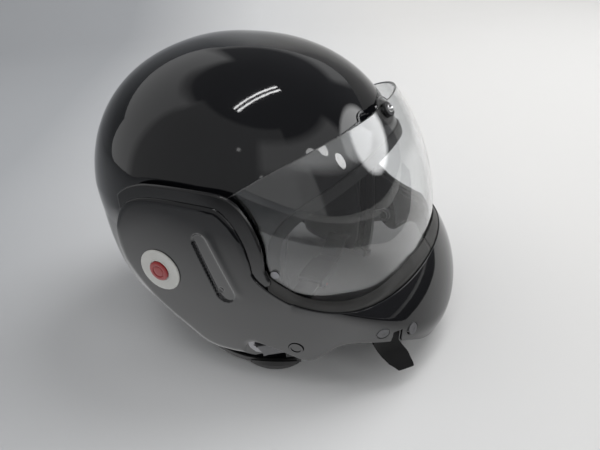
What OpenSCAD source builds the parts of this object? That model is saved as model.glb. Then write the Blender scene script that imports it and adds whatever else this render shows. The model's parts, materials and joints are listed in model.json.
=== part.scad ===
// Modular motorcycle helmet: an open-face shell, a clear visor and a chin bar
// that both turn on one pair of side pivots. The chin bar swings right over
// the crown to the back. The front faces -Y, the wearer's right is -X.

/* [Shell] */
// Half width of the shell before its sides are flattened
shell_half_w = 124.8; // [120:0.1:130]
// Half length of the shell at its widest level
shell_half_l = 149; // [140:0.5:158]
// Height of the crown above the table
shell_top = 266; // [250:1:285]
// Height of the widest level
belt_z = 125; // [115:1:135]
// Distance of the shell's middle behind the origin
shell_y = 26; // [20:0.5:32]
// Thickness of the shell's wall
shell_wall = 4; // [3:0.1:5]
// Half width over the flats that carry the pivots
flat_x = 118; // [115:0.1:119]
// Height of the shell's lower edge above the table
rim_z = 3; // [2:0.5:8]
// How much narrower the shell is at its lower edge, as a share
waist_w = 0.12; // [0.05:0.01:0.18]
// How much shorter the shell is at its lower edge, as a share
waist_l = 0.19; // [0.1:0.01:0.25]

/* [Padding] */
// Thickness of the foam liner
foam_t = 27; // [20:0.5:32]
// Thickness of the crown pad
crown_t = 9; // [6:0.5:12]
// Depth of the crown pad's channels
channel_d = 2.6; // [0:0.1:4]
// Thickness of a cheek pad at its crown
cheek_t = 44; // [34:1:52]
// Height of a cheek pad's top
cheek_top = 112; // [100:1:120]
// Thickness of the neck roll
neck_t = 24; // [16:1:30]
// Height of the neck roll
neck_h = 34; // [24:1:40]

/* [Pivot] */
// Distance of the pivot axis behind the origin
pivot_y = 40; // [34:0.5:46]
// Height of the pivot axis
pivot_z = 104; // [98:0.5:110]
// Radius of the shoulder bolt where the chin bar turns
bolt_r = 8; // [6:0.1:10]
// Radius of the boss where the visor turns
boss_r = 10; // [9:0.1:12]
// Radius of the white disc
disc_r = 19.5; // [16:0.1:24]
// Radius of the red cap
cap_r = 9; // [7:0.1:12]
// Radial running clearance of every pivot
fit = 0.05; // [0.02:0.01:0.1]

/* [Chin bar] */
// Half width over the arms at the pivot
arm_x = 131.5; // [130:0.1:134]
// Reach of the chin from the pivot axis
chin_r = 227.5; // [222:0.5:230]
// Thickness of the chin bar's wall
chin_wall = 3.2; // [2.5:0.1:4]
// Reach of the lane inside the chin bar that the knob passes through
clear_r = 193.4; // [193.2:0.1:194.5]
// Radius of the rounded nose about an axis from side to side
nose_r = 132.5; // [131:0.5:136]

/* [Visor] */
// Outer radius of the visor about the pivot axis
visor_r = 187.5; // [186:0.1:188]
// Half width over the visor's ears
visor_x = 126; // [125:0.1:127]
// Thickness of the visor
visor_t = 2.6; // [2:0.1:3]
// Angle of the knob above the horizontal, about the pivot axis
knob_angle = 36; // [35:0.5:37.5]
// Radius of the knob's collar
knob_r = 8.5; // [7:0.1:10]
// Reach of the knob's dome from the pivot axis
knob_top = 193; // [191.5:0.1:193]

/* [Latch] */
// Distance of the latch pin from the pivot axis
pin_reach = 130.5; // [127:0.5:134]
// Angle of the latch pin below the horizontal
pin_angle = 26.5; // [25:0.5:28]
// Distance of the striker post from the pivot axis
post_reach = 106; // [103:0.5:109]
// Angle of the striker post below the horizontal
post_angle = 43; // [40:0.5:46]
// Radius of the striker post
post_r = 4; // [3:0.1:5]
// Radius of the latch pin
pin_r = 3; // [2.5:0.1:4]

/* [Straps] */
// Width of the chin strap
strap_w = 23; // [18:1:26]
// Thickness of the chin strap
strap_t = 2.2; // [1.5:0.1:3]
// Width of the pull tab
tab_w = 25; // [20:1:27]
// Thickness of the pull tab
tab_t = 2; // [1.5:0.1:3]

/* [Hidden] */
// Gap between faces of soft or curved pieces
soft_gap = 0.3;
// Gap between hard faces of one body
seat = 0.02;
// Half width of the box that side outlines are extruded to
far = 160;
// Facets round the pivot axis
fine = 96;

// Shape of the shell
belt_power = 2.3;
crown_power = 2.2;
rim_power = 2.8;
waist_power = 2.2;
crown_rise = shell_top - belt_z;

// One value between a and b
function mix(a, b, t) = a + (b - a) * t;
// Share of the way from the widest level down to the table
function low(z) = max(0, (belt_z - z) / belt_z);
// Share of the section that is left at height z above the widest level
function dome(z, inset) =
    pow(max(0, 1 - pow(max(0, z - belt_z) / (crown_rise - inset), crown_power)), 1 / crown_power);
// Half width and half length of the section at height z
function half_w(z, inset) =
    z > belt_z ? (shell_half_w - inset) * dome(z, inset)
        : shell_half_w * (1 - waist_w * pow(low(z), waist_power)) - inset;
function half_l(z, inset) =
    z > belt_z ? (shell_half_l - inset) * dome(z, inset)
        : shell_half_l * (1 - waist_l * pow(low(z), waist_power)) - inset;
// Squareness of the section at height z
function power(z) = mix(belt_power, rim_power, low(z));
// Point of the section at height z in the direction phi, 0 to the left, 90 to the back
function ring_reach(phi, z, inset) =
    pow(pow(abs(cos(phi)) / half_w(z, inset), power(z))
        + pow(abs(sin(phi)) / half_l(z, inset), power(z)), -1 / power(z));
function ring_point(phi, z, inset) =
    let (r = ring_reach(phi, z, inset))
    [r * cos(phi), shell_y + r * sin(phi), z];
// Half width of the shell at a place in its side view
function side_x(y, z, inset = 0) =
    let (s = pow(abs(y - shell_y) / half_l(z, inset), power(z)))
    min(flat_x - inset, half_w(z, inset) * pow(max(0, 1 - s), 1 / power(z)));
// Reach of the shell's surface from the pivot axis in the median plane
function front_reach(angle, near = 100, away = 220, steps = 24) =
    steps == 0 ? near : let (
        mid = (near + away) / 2,
        y = pivot_y - mid * cos(angle),
        z = pivot_z + mid * sin(angle),
        inside = abs(y - shell_y) < half_l(z, 0))
    inside ? front_reach(angle, mid, away, steps - 1) : front_reach(angle, near, mid, steps - 1);

// Heights of the rings of a form from its lower edge to near the crown
function ring_heights(z0, inset, below, above) = concat(
    [for (i = [0 : below - 1]) mix(z0, belt_z, i / below)],
    [for (i = [0 : above - 1]) belt_z + (crown_rise - inset) * sin(90 * i / above)]);

// Solid of stacked rings of points that closes at a top point
module stack(rings, top) {
    n = len(rings[0]);
    count = len(rings);
    points = concat([for (r = rings) each r], [top]);
    sides = [for (i = [0 : count - 2], j = [0 : n - 1]) let (k = (j + 1) % n) each
        [[i * n + j, (i + 1) * n + j, (i + 1) * n + k], [i * n + j, (i + 1) * n + k, i * n + k]]];
    cap = [for (j = [0 : n - 1]) [(count - 1) * n + j, count * n, (count - 1) * n + (j + 1) % n]];
    base = [[for (j = [0 : n - 1]) j]];
    polyhedron(points, concat(sides, cap, base), convexity = 6);
}

// The shell's form, drawn in by an inset and flattened at its sides
module shell_form(inset, z0, segments, below, above) {
    heights = ring_heights(z0, inset, below, above);
    rings = [for (z = heights) [for (j = [0 : segments - 1]) ring_point(360 * j / segments, z, inset)]];
    top_z = belt_z + crown_rise - inset;
    intersection() {
        stack(rings, [0, shell_y, top_z]);
        translate([-flat_x + inset, -far, z0])
            cube([2 * (flat_x - inset), 4 * far, 2 * far]);
    }
}

// A place in the side view, given forward of and above the pivot axis
function side(p) = [pivot_y - p[0], pivot_z + p[1]];
// A place in the side view, given as a reach and an angle about the pivot axis
function polar(reach, angle) = [reach * cos(angle), reach * sin(angle)];

// Smooth curve through key points
function blend_point(a, b, c, d, t) =
    0.5 * (2 * b + (c - a) * t + (2 * a - 5 * b + 4 * c - d) * t * t
        + (3 * b - a - 3 * c + d) * t * t * t);
function curve(keys, steps = 3) =
    let (n = len(keys))
    concat([for (i = [0 : n - 2], k = [0 : steps - 1])
        blend_point(keys[max(0, i - 1)], keys[i], keys[i + 1], keys[min(n - 1, i + 2)], k / steps)],
        [keys[n - 1]]);
function reversed(list) = [for (i = [len(list) - 1 : -1 : 0]) list[i]];
// A curve moved to its left by a distance
function normal_at(p, i) =
    let (d = p[min(len(p) - 1, i + 1)] - p[max(0, i - 1)])
    [-d[1], d[0]] / norm(d);
function shifted(p, distance) = [for (i = [0 : len(p) - 1]) p[i] + distance * normal_at(p, i)];
function arc(centre, radius, from, to, steps) =
    [for (i = [0 : steps]) centre + polar(radius, mix(from, to, i / steps))];

// Side outline extruded right across the helmet
// with points that repeat the one before left out
module across(outline) {
    n = len(outline);
    kept = [for (i = [0 : n - 1]) if (norm(outline[i] - outline[(i + 1) % n]) > 0.05) outline[i]];
    translate([-far, 0, 0])
        rotate([90, 0, 90])
            linear_extrude(2 * far)
                polygon([for (p = kept) side(p)]);
}

// Solid of revolution about the pivot axis, or about one parallel to it.
// Its half section follows |x/half|^x_power + |r/reach|^r_power = 1.
module bowl(half, reach, x_power, r_power, centre = [0, 0], steps = 14) {
    arc_points = [for (i = [0 : steps]) let (a = 90 * i / steps)
        [i == 0 ? 0 : reach * pow(sin(a), 2 / r_power), i == steps ? 0 : half * pow(cos(a), 2 / x_power)]];
    mirrored = [for (i = [steps - 1 : -1 : 0]) [arc_points[i][0], -arc_points[i][1]]];
    at = side(centre);
    translate([0, at[0], at[1]])
        rotate([0, 90, 0])
            rotate_extrude($fn = fine)
                polygon(concat(arc_points, mirrored));
}
// The chin bar's section is blunt at the arms and pointed at the chin
chin_x_power = 2;
chin_r_power = 3;
// Rounded nose: an axis ahead of and below the pivot, used ahead of nose_from
nose_axis = [82.5, -85];
nose_from = 118;
nose_x = 140;
module chin_form(inset) {
    intersection() {
        bowl(arm_x - inset, chin_r - inset, chin_x_power, chin_r_power);
        union() {
            translate([-far, pivot_y - nose_from, -far])
                cube([2 * far, 3 * far, 4 * far]);
            bowl(nose_x - inset, nose_r - inset, chin_x_power, chin_r_power, nose_axis);
        }
    }
}
// Half width of the chin bar's outer face at a reach from the pivot axis
function arm_face(reach) =
    arm_x * pow(1 - pow(reach / chin_r, chin_r_power), 1 / chin_x_power);

// The visor's section, and the space that it and its knob sweep
visor_x_power = 2.6;
visor_r_power = 3;
module visor_form(inset) {
    bowl(visor_x - inset, visor_r - inset, visor_x_power, visor_r_power);
}
visor_space = 0.8;
lane_w = 19;
module sweep_form() {
    bowl(visor_x + 1, visor_r + visor_space, visor_x_power, visor_r_power);
    x_disc(clear_r, -lane_w / 2, lane_w / 2);
}

// Frame on the left side: z outward, x away from the pivot axis
module arm_frame(reach, angle, x, tilt = 0) {
    at = side(polar(reach, angle));
    translate([x, at[0], at[1]])
        rotate([atan2(-cos(angle), -sin(angle)), 0, 0])
            rotate([0, 90, 0])
                rotate([0, tilt, 0])
                    children();
}
// Frame of the knob in the median plane: z away from the pivot axis, x to the left
module knob_frame() {
    translate([0, pivot_y, pivot_z])
        rotate([90 - knob_angle, 0, 0])
            children();
}
// Left side as drawn, right side mirrored
module on_side(name) {
    if (name == "left")
        children();
    else
        mirror([1, 0, 0])
            children();
}
module both_sides() {
    on_side("left")
        children();
    on_side("right")
        children();
}

// Outlines in the side view, as [forward, up] from the pivot axis
// Top edge of an arm, from its rear tip over to the chin
arm_top = curve([[-39, -1], [-42, 14], [-41, 31], [-34, 48], [-24, 59], [-10, 65.5], [5, 68],
    [22, 69], [40, 69], [54, 68.6], [62, 67.5], [68, 63.5], [76, 54], [83, 39], [86.5, 24],
    [87.5, 15]]);
// Lip of the chin, from the arm to the front
chin_lip = curve([[87.5, 15], [92.2, 7.8], [104, -1.6], [119, -10.2], [138, -15.2], [155, -17.5],
    [174, -18.6], [189, -17.2], [200, -14.5]]);
// Lower edge, from the front back to the latch notch
chin_low = curve([[210, -93], [204, -82], [199, -71], [191, -62.5], [179, -57], [168, -53.8],
    [155, -53.2], [144, -60], [135, -69], [128, -73.5], [121, -73.6], [114, -70.5], [104, -64.5],
    [92, -60], [83, -58.3], [76.5, -60.5], [72, -66], [70, -75]], 2);
// Lower and rear edge of the arm, from the notch to the rear tip
arm_low = curve([[70, -75], [58, -76], [42, -75], [30, -70.5], [16, -59], [0, -47], [-17, -32],
    [-30, -16], [-39, -1]]);
chin_outline = concat(arm_top, chin_lip, [[236, -13], [236, -93]], chin_low, arm_low);
// Outer edge of the rim that borders the arm's top edge
rim_top = curve([[-39.5, 1], [-44, 14], [-46.3, 33], [-40, 55], [-27, 69], [-11, 76], [5, 78.5],
    [24, 79.4], [48, 79.5], [63, 78.5], [74, 75], [83, 66.5], [91, 53], [96, 38], [97.3, 27],
    [97.5, 19]]);
// Visor: ear, upper edge, then the lower edge from the front back
visor_ear = 24;
visor_top = curve([[3, 24], [30, 44], [71, 70], [91, 81.5], [116, 93.5], [137, 100.5], [150, 105.5]]);
visor_low = curve([[190, -6], [184, -8.5], [179, -12.5], [168, -16.6], [155, -18.2], [141, -17],
    [125, -13.5], [112, -9], [100, -6], [80, -8], [50, -13], [24, -19], [14, -21.6]]);
visor_outline = concat(arc([0, 0], visor_ear, 285, 82, 12), visor_top,
    [[158, 113], [215, 130], [215, -6]], visor_low);
// Seal: its upper edge lies over the visor's lower edge, then drops to the lip of the chin
seal_top = curve([[96.3, 17.8], [100.3, 9.1], [111, 0.6], [124, -7.6], [143, -13.1],
    [157, -14.4], [170, -12.2], [181, -5.6], [186.5, -2.2], [190, -6], [194, -13.5]]);
seal_low = curve([[208, -24], [190, -25], [175, -26.5], [155, -25.5], [138, -23], [119, -18],
    [104, -10], [93, -1], [84.5, 10]]);
seal_outline = concat(seal_top, [[205, -15], [208, -24]], seal_low, [[84.5, 14.2]]);
pad_gap = 0.4;
pad_top = [for (p = seal_low) if (p[0] > 116) p - [0, pad_gap]];
pad_low = [for (p = chin_low) if (p[0] > 130 && p[0] < 207) p + [-2, 5]];
pad_outline = concat(reversed(pad_top), [[230, -24]], [[230, -86]], pad_low);

// Edge of the face opening in the side view, as [y, z], from the lower corner to the brow
brow_y = -113;
brow_z = 181;
brow_slope = 0.62;
function brow_line(y) = brow_z - brow_slope * (y - brow_y);
edge_y = -64;
edge_keys = [[edge_y + 1, rim_z + 9], [edge_y - 0.5, 30], [edge_y, 60], [edge_y + 1, 90],
    [edge_y + 2, 118], [edge_y + 1.5, 136], [edge_y - 3.5, 148]];
// Place on the brow line of the shell's surface in the direction phi
function brow_point(phi, inset, steps = 10, z = 175) =
    steps == 0 ? ring_point(phi, z, inset)
        : brow_point(phi, inset, steps - 1, brow_line(ring_point(phi, z, inset)[1]));
brow_dirs = [-49, -55, -61, -67, -73, -79, -85, -90];
mid = shell_wall / 2;
brow_keys = [for (phi = brow_dirs) let (p = brow_point(phi, mid)) [p[1], p[2]]];
edge_curve = curve(concat(edge_keys, [for (i = [0 : len(brow_keys) - 2]) brow_keys[i]]), 2);

// Region ahead of the face opening's edge, moved back into the shell by a distance
module opening_cut(back) {
    moved = shifted(edge_curve, -back);
    tip = [brow_y - 3 * far, brow_line(brow_y - 3 * far) + back];
    translate([-far, 0, 0])
        rotate([90, 0, 90])
            linear_extrude(2 * far)
                polygon(concat([[moved[0][0] + 3, -1]], moved, [[brow_y, brow_z + back / cos(32)]],
                    [tip, [tip[0], -1]]));
}

// Solid swept through sections, with flat ends
module sweep(sections) {
    n = len(sections[0]);
    count = len(sections);
    points = [for (s = sections) each s];
    sides = [for (i = [0 : count - 2], j = [0 : n - 1]) let (k = (j + 1) % n) each
        [[i * n + j, (i + 1) * n + j, (i + 1) * n + k], [i * n + j, (i + 1) * n + k, i * n + k]]];
    start = [[for (j = [0 : n - 1]) j]];
    finish = [[for (j = [n - 1 : -1 : 0]) (count - 1) * n + j]];
    polyhedron(points, concat(sides, start, finish), convexity = 8);
}

shell_segments = 64;
module outer_shell() {
    color("#101114")
        difference() {
            shell_form(0, rim_z, shell_segments, 7, 12);
            shell_form(shell_wall, rim_z - 1, shell_segments, 7, 12);
            opening_cut(0);
            both_sides()
                base_screw_places()
                    cylinder(r = screw_r + fit, h = 3 * shell_wall, center = true, $fn = 24);
        }
}

// Rubber channel over the lower edge of the shell
trim_t = 1.6;
trim_h = 8;
trim_gap = 0.25;
trim_from = -45;
module neck_trim() {
    section = [[-trim_t - trim_gap, trim_h], [-trim_t - trim_gap, 1.2], [-trim_t - trim_gap + 1.2, 0],
        [shell_wall + trim_t + trim_gap - 1.2, 0], [shell_wall + trim_t + trim_gap, 1.2],
        [shell_wall + trim_t + trim_gap, trim_h], [shell_wall + trim_gap, trim_h],
        [shell_wall + trim_gap, rim_z - seat], [-trim_gap, rim_z - seat], [-trim_gap, trim_h]];
    facet = 360 / shell_segments;
    first = ceil(trim_from / facet);
    final = floor((180 - trim_from) / facet);
    color("#1c1c1d")
        sweep([for (k = [first : final]) [for (s = section) ring_point(k * facet, s[1], s[0])]]);
}

// Outward normal of the shell near a point, from small steps along its section and height
function unit(v) = v / norm(v);
function shell_normal(p) =
    let (phi = atan2(p[1] - shell_y, p[0]), step = 0.5,
        along = ring_point(phi + step, p[2], mid) - ring_point(phi - step, p[2], mid),
        up = ring_point(phi, p[2] + step, mid) - ring_point(phi, p[2] - step, mid))
    unit(cross(along, up));

// Rubber channel over the edge of the face opening
leg = 7;
edge_gap = 0.3;
module wall_form(proud, z0) {
    difference() {
        shell_form(-proud, z0, shell_segments, 7, 12);
        shell_form(shell_wall + proud, z0 - 1, shell_segments, 7, 12);
    }
}
module face_trim() {
    z0 = rim_z + leg + 2;
    color("#1c1c1d")
        difference() {
            intersection() {
                wall_form(trim_gap + trim_t, z0);
                opening_cut(leg);
            }
            opening_cut(-edge_gap - trim_t);
            difference() {
                wall_form(trim_gap, z0 - 1);
                opening_cut(-edge_gap);
            }
        }
}

foam_out = shell_wall + 0.6;
foam_in = foam_out + foam_t;
foam_back = 9;
foam_segments = 48;
foam_rings = 9;
cheek_gap = 0.5;
pad_y = 26;
neck_top = 12 + neck_h;
module foam_liner() {
    color("#e8e6df")
        difference() {
            shell_form(foam_out, neck_top + 1, foam_segments, 5, foam_rings);
            shell_form(foam_in, neck_top, foam_segments, 5, foam_rings);
            opening_cut(foam_back);
            translate([-far, pad_y - 2 * far + cheek_gap, 0])
                cube([2 * far, 2 * far, cheek_top + cheek_gap]);
        }
}

// Crown pad: its inner side is drawn in along channels that run down from the crown
channels = 10;
crown_in = foam_in + soft_gap + crown_t;
function channel(phi) = channel_d * pow(abs(cos(phi * channels / 2)), 8);
module crown_pad() {
    z0 = cheek_top + 8;
    n = 60;
    heights = ring_heights(z0 - 1, crown_in, 2, foam_rings);
    inner = [for (z = heights) [for (j = [0 : n - 1]) let (phi = 360 * j / n)
        ring_point(phi, z, crown_in - channel(phi))]];
    color("#3a3b3f")
        difference() {
            shell_form(foam_in + soft_gap, z0, foam_segments, 2, foam_rings);
            stack(inner, [0, shell_y, shell_top - crown_in]);
            opening_cut(foam_back + 3);
        }
}

// Cheek pad: a pillow between the shell and the face with a sewn channel across it
cheek_y0 = edge_y + foam_back + 1;
cheek_y1 = pad_y - cheek_gap;
cheek_z0 = 11;
cheek_edge = 24;
seam_at = 0.56;
function bulge(t) = pow(1 - pow(abs(2 * t - 1), 3.2), 0.6);
function seam(t) = 3 * exp(-pow((t - seam_at) / 0.035, 2));
function cheek_depth(s, t) =
    cheek_edge + (cheek_t - cheek_edge) * bulge(s) * bulge(t) - seam(t) * bulge(s);
module cheek_pad() {
    nx = 12;
    nz = 18;
    outer = [for (k = [0 : nz], i = [0 : nx]) let (y = mix(cheek_y0, cheek_y1, i / nx),
        z = mix(cheek_z0, cheek_top, k / nz)) [side_x(y, z, foam_out), y, z]];
    inner = [for (k = [0 : nz], i = [0 : nx]) let (
        s = i / nx,
        t = k / nz,
        y = mix(cheek_y0, cheek_y1, mix(s, 0.5, 0.06 * (1 - bulge(t)))),
        z = mix(cheek_z0, cheek_top, t))
        [side_x(y, z, foam_out) - cheek_depth(s, t), y, z]];
    m = (nx + 1) * (nz + 1);
    function at(i, k, layer) = layer * m + k * (nx + 1) + i;
    function quad(a, b, c, d) = [[a, b, c], [a, c, d]];
    faces = concat(
        [for (k = [0 : nz - 1], i = [0 : nx - 1]) each
            quad(at(i, k, 0), at(i, k + 1, 0), at(i + 1, k + 1, 0), at(i + 1, k, 0))],
        [for (k = [0 : nz - 1], i = [0 : nx - 1]) each
            quad(at(i, k, 1), at(i + 1, k, 1), at(i + 1, k + 1, 1), at(i, k + 1, 1))],
        [for (k = [0 : nz - 1]) each quad(at(0, k, 0), at(0, k, 1), at(0, k + 1, 1), at(0, k + 1, 0))],
        [for (k = [0 : nz - 1]) each quad(at(nx, k, 0), at(nx, k + 1, 0), at(nx, k + 1, 1), at(nx, k, 1))],
        [for (i = [0 : nx - 1]) each quad(at(i, 0, 0), at(i + 1, 0, 0), at(i + 1, 0, 1), at(i, 0, 1))],
        [for (i = [0 : nx - 1]) each quad(at(i, nz, 0), at(i, nz, 1), at(i + 1, nz, 1), at(i + 1, nz, 0))]);
    slot_y = strap_y - strap_w / 2 - 1;
    slot_h = strap_t + 2;
    color("#2c2d30")
        difference() {
            polyhedron(concat(outer, inner), faces, convexity = 6);
            translate([0, slot_y, strap_z - slot_h / 2])
                cube([far, strap_w + 2, slot_h]);
            translate([strap_x - 8, slot_y, strap_z - slot_h / 2])
                cube([far, strap_w + 2, stud_z + anchor_r + 2 - strap_z + slot_h / 2]);
        }
}

module neck_roll() {
    steps = 30;
    n = 12;
    z = 10 + neck_h / 2;
    centre = foam_out + neck_t / 2;
    color("#2c2d30")
        sweep([for (i = [0 : steps]) let (phi = mix(4, 176, i / steps),
            thin = 1 - 0.12 * pow(cos(phi * 4), 2))
            [for (k = [0 : n - 1]) let (a = 360 * k / n,
                u = pow(abs(cos(a)), 0.7) * sign(cos(a)),
                v = pow(abs(sin(a)), 0.7) * sign(sin(a)))
                ring_point(phi, z + v * neck_h / 2, centre + u * neck_t / 2 * (u > 0 ? thin : 1))]]);
}

// Pivot parts, drawn on the left side
base_r = 30;
base_t = 2.6;
base_face = flat_x + base_t;
boss_x = 127.6;
bolt_core = 5;
screw_r = 1.9;
screw_head = 3.4;
screw_ring = 23;
ear_in = visor_x - visor_t;
bush_r = boss_r + 2;
bolt_head = 12;
face_x = arm_x - 0.3;
head_x = face_x + 1.2;
disc_x = face_x + 2;
cap_x = disc_x + 1.9;
module x_disc(r, x0, x1, at = [0, 0]) {
    p = side(at);
    translate([x0, p[0], p[1]])
        rotate([0, 90, 0])
            cylinder(r = r, h = x1 - x0, $fn = 64);
}
module base_screw_places() {
    for (angle = [90, 210, 330]) {
        p = side(polar(screw_ring, angle));
        translate([flat_x, p[0], p[1]])
            rotate([0, 90, 0])
                children();
    }
}
module pivot_base() {
    color("#55585c")
        difference() {
            union() {
                x_disc(base_r, flat_x + seat, base_face);
                x_disc(boss_r, flat_x + 1, boss_x);
            }
            x_disc(bolt_core + fit, flat_x - 1, boss_x + 1);
            base_screw_places()
                cylinder(r = screw_r + fit, h = 20, center = true, $fn = 32);
            base_screw_places()
                translate([0, 0, base_t - 1.5])
                    cylinder(r = screw_head + fit, h = 10, $fn = 32);
        }
}
module base_screws() {
    color("#9a9da1")
        both_sides()
            base_screw_places() {
                translate([0, 0, -shell_wall + 0.1])
                    cylinder(r = screw_r, h = shell_wall + base_t - 1.1, $fn = 32);
                translate([0, 0, base_t - 1.5 + seat])
                    difference() {
                        cylinder(r = screw_head, h = 1.4, $fn = 32);
                        translate([0, 0, 0.6])
                            cylinder(r = 1.6, h = 2, $fn = 6);
                    }
            }
}
module pivot_bolt() {
    color("#8d9094") {
        x_disc(bolt_core, flat_x + 0.6, boss_x + 0.5);
        x_disc(bolt_r, boss_x + 0.1, face_x + 0.5);
        x_disc(bolt_head, face_x + 0.06, head_x);
    }
}
module pivot_disc() {
    color("#e9e8e2")
        difference() {
            x_disc(disc_r, face_x + seat, disc_x);
            x_disc(bolt_head + 0.3, face_x - 1, head_x + 0.1);
        }
}
module pivot_cap() {
    color("#c4201f")
        difference() {
            x_disc(cap_r, disc_x + seat, cap_x);
            translate([cap_x - 0.7, pivot_y - 5, pivot_z - 0.8])
                cube([2, 10, 1.6]);
        }
}
module visor_bush() {
    color("#2a2b2d")
        difference() {
            union() {
                x_disc(bush_r, ear_in - 0.5, visor_x + 0.9);
                x_disc(bush_r + 3, visor_x + seat, visor_x + 0.9);
            }
            x_disc(boss_r + fit, ear_in - 1, visor_x + 2);
        }
}

// Visor with its ears and the tab that carries the knob
tab_side = curve([[42, -16], [36, -5.5], [27, -3.5], [20, -0.5], [16.5, 5], [12.5, 9.8], [7, 12],
    [0, 12.5]]);
tab_outline = concat(tab_side,
    [for (i = [len(tab_side) - 2 : -1 : 0]) [-tab_side[i][0], tab_side[i][1]]]);
module visor() {
    color([0.8, 0.83, 0.86, 0.35])
        difference() {
            intersection() {
                visor_form(0);
                union() {
                    across(visor_outline);
                    knob_frame()
                        translate([0, 0, 100])
                            linear_extrude(150)
                                polygon(tab_outline);
                }
            }
            visor_form(visor_t);
            x_disc(bush_r + seat, -far, far);
            knob_frame()
                translate([0, 0, 150])
                    cylinder(r = collar_hole, h = 60, $fn = 48);
            both_sides()
                visor_stud_place()
                    cylinder(r = stud_r + seat, h = 20, center = true, $fn = 32);
        }
}
stud_r = 2;
stud_at = [103, 13];
function visor_face(reach) = visor_x * pow(1 - pow(reach / visor_r, visor_r_power), 1 / visor_x_power);
module visor_stud_place() {
    reach = norm(stud_at);
    tilt = atan(visor_face(reach - 0.5) - visor_face(reach + 0.5));
    arm_frame(reach, atan2(stud_at[1], stud_at[0]), visor_face(reach), tilt)
        children();
}
module visor_studs() {
    color("#3a3b3d")
        both_sides()
            visor_stud_place() {
                translate([0, 0, -visor_t - 1])
                    cylinder(r = stud_r, h = visor_t + 1.5, $fn = 32);
                translate([0, 0, 0.2])
                    cylinder(r = 3.4, h = 0.9, $fn = 48);
                translate([0, 0, -visor_t - 1.2])
                    cylinder(r = 3, h = 0.7, $fn = 48);
            }
}

// Knob: a black collar through the visor with a domed button in it
collar_hole = 5.5;
collar_top = visor_r + 2.6;
neck_in = 178.6;
button_r = 5;
press = 1.5;
module knob_collar() {
    color("#0d0d0e")
        knob_frame()
            difference() {
                union() {
                    translate([0, 0, neck_in])
                        cylinder(r = collar_hole - 0.05, h = collar_top - neck_in - 1, $fn = 48);
                    translate([0, 0, visor_r + 0.25])
                        cylinder(r = knob_r, h = collar_top - visor_r - 0.25, $fn = 64);
                    translate([0, 0, neck_in - 0.8])
                        cylinder(r = 6.6, h = 1.6, $fn = 48);
                }
                translate([0, 0, neck_in + 3])
                    cylinder(r = button_r - 1, h = 40, $fn = 48);
                translate([0, 0, collar_top - 4.2])
                    cylinder(r = button_r + fit, h = 20, $fn = 48);
            }
}
module knob_button() {
    dome_h = 1.6;
    ball = (button_r * button_r + dome_h * dome_h) / (2 * dome_h);
    low = collar_top - 4.2 + press + 0.2;
    color("#b9bcc0")
        knob_frame()
            intersection() {
                translate([0, 0, low])
                    cylinder(r = button_r, h = knob_top - low + 1, $fn = 48);
                translate([0, 0, knob_top - ball])
                    sphere(r = ball, $fn = 64);
            }
}

// Clip on the forehead: a fork, open upward, that the neck of the knob drops into
clip_top = 183.6;
module forehead_clip() {
    skin = front_reach(knob_angle);
    slot = 2 * collar_hole + 0.1;
    color("#151516")
        knob_frame()
            difference() {
                translate([0, 0, skin + 0.4])
                    cylinder(r = 14, h = clip_top - skin - 0.4, $fn = 72);
                translate([0, 0, neck_in - 1.1])
                    cylinder(r = 6.9, h = 2.2, $fn = 48);
                intersection() {
                    rotate([0, 90, 0])
                        difference() {
                            cylinder(r = neck_in + 1.1, h = 13.8, center = true, $fn = 360);
                            cylinder(r = neck_in - 1.1, h = 20, center = true, $fn = 360);
                        }
                    translate([-10, 0, 100])
                        cube([20, 30, 100]);
                }
                cylinder(r = slot / 2, h = 300, $fn = 48);
                translate([-slot / 2, 0, 0])
                    cube([slot, 20, 300]);
            }
}

// Chin bar: places on its skin given across and up
function main_reach(x) = chin_r * pow(1 - pow(x / arm_x, 2), 1 / 3);
function nose_reach(x) = nose_r * pow(1 - pow(x / nose_x, 2), 1 / 3);
function skin_forward(x, up) = min(sqrt(pow(main_reach(x), 2) - up * up),
    nose_axis[0] + sqrt(pow(nose_reach(x), 2) - pow(up - nose_axis[1], 2)));
function skin_point(x, up) = [x, pivot_y - skin_forward(x, up), pivot_z + up];
function skin_normal(x, up) = unit(cross(skin_point(x + 0.5, up) - skin_point(x - 0.5, up),
    skin_point(x, up + 0.5) - skin_point(x, up - 0.5)));
// Frame with z along a direction, x down the surface
module facing(point, n) {
    translate(point)
        rotate([0, acos(n[2]), atan2(n[1], n[0])])
            children();
}
module skin_frame(x, up) {
    facing(skin_point(x, up), skin_normal(x, up))
        children();
}

scoop_from = [45, 37];
scoop_to = [62, -8];
scoop_r = 9.5;
scoop_depth = 2.3;
module scoop() {
    way = scoop_to - scoop_from;
    turn = atan2(way[1], way[0]);
    outline = concat(arc(scoop_from, scoop_r, turn + 90, turn + 270, 10),
        arc(scoop_to, scoop_r - 1, turn - 90, turn + 90, 10));
    mid_at = (scoop_from + scoop_to) / 2;
    floor_x = arm_face(norm(mid_at)) - scoop_depth / 2;
    place = side(mid_at);
    intersection() {
        across(outline);
        union() {
            translate([floor_x, place[0], place[1]])
                rotate([180 - turn, 0, 0])
                    rotate([0, 0, 6.5])
                        translate([0, -far, -far])
                            cube([20, 2 * far, 2 * far]);
            x_disc(scoop_r - 3, floor_x - 1.2, arm_x + 1, scoop_to + [-1, 2]);
        }
    }
}

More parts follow.
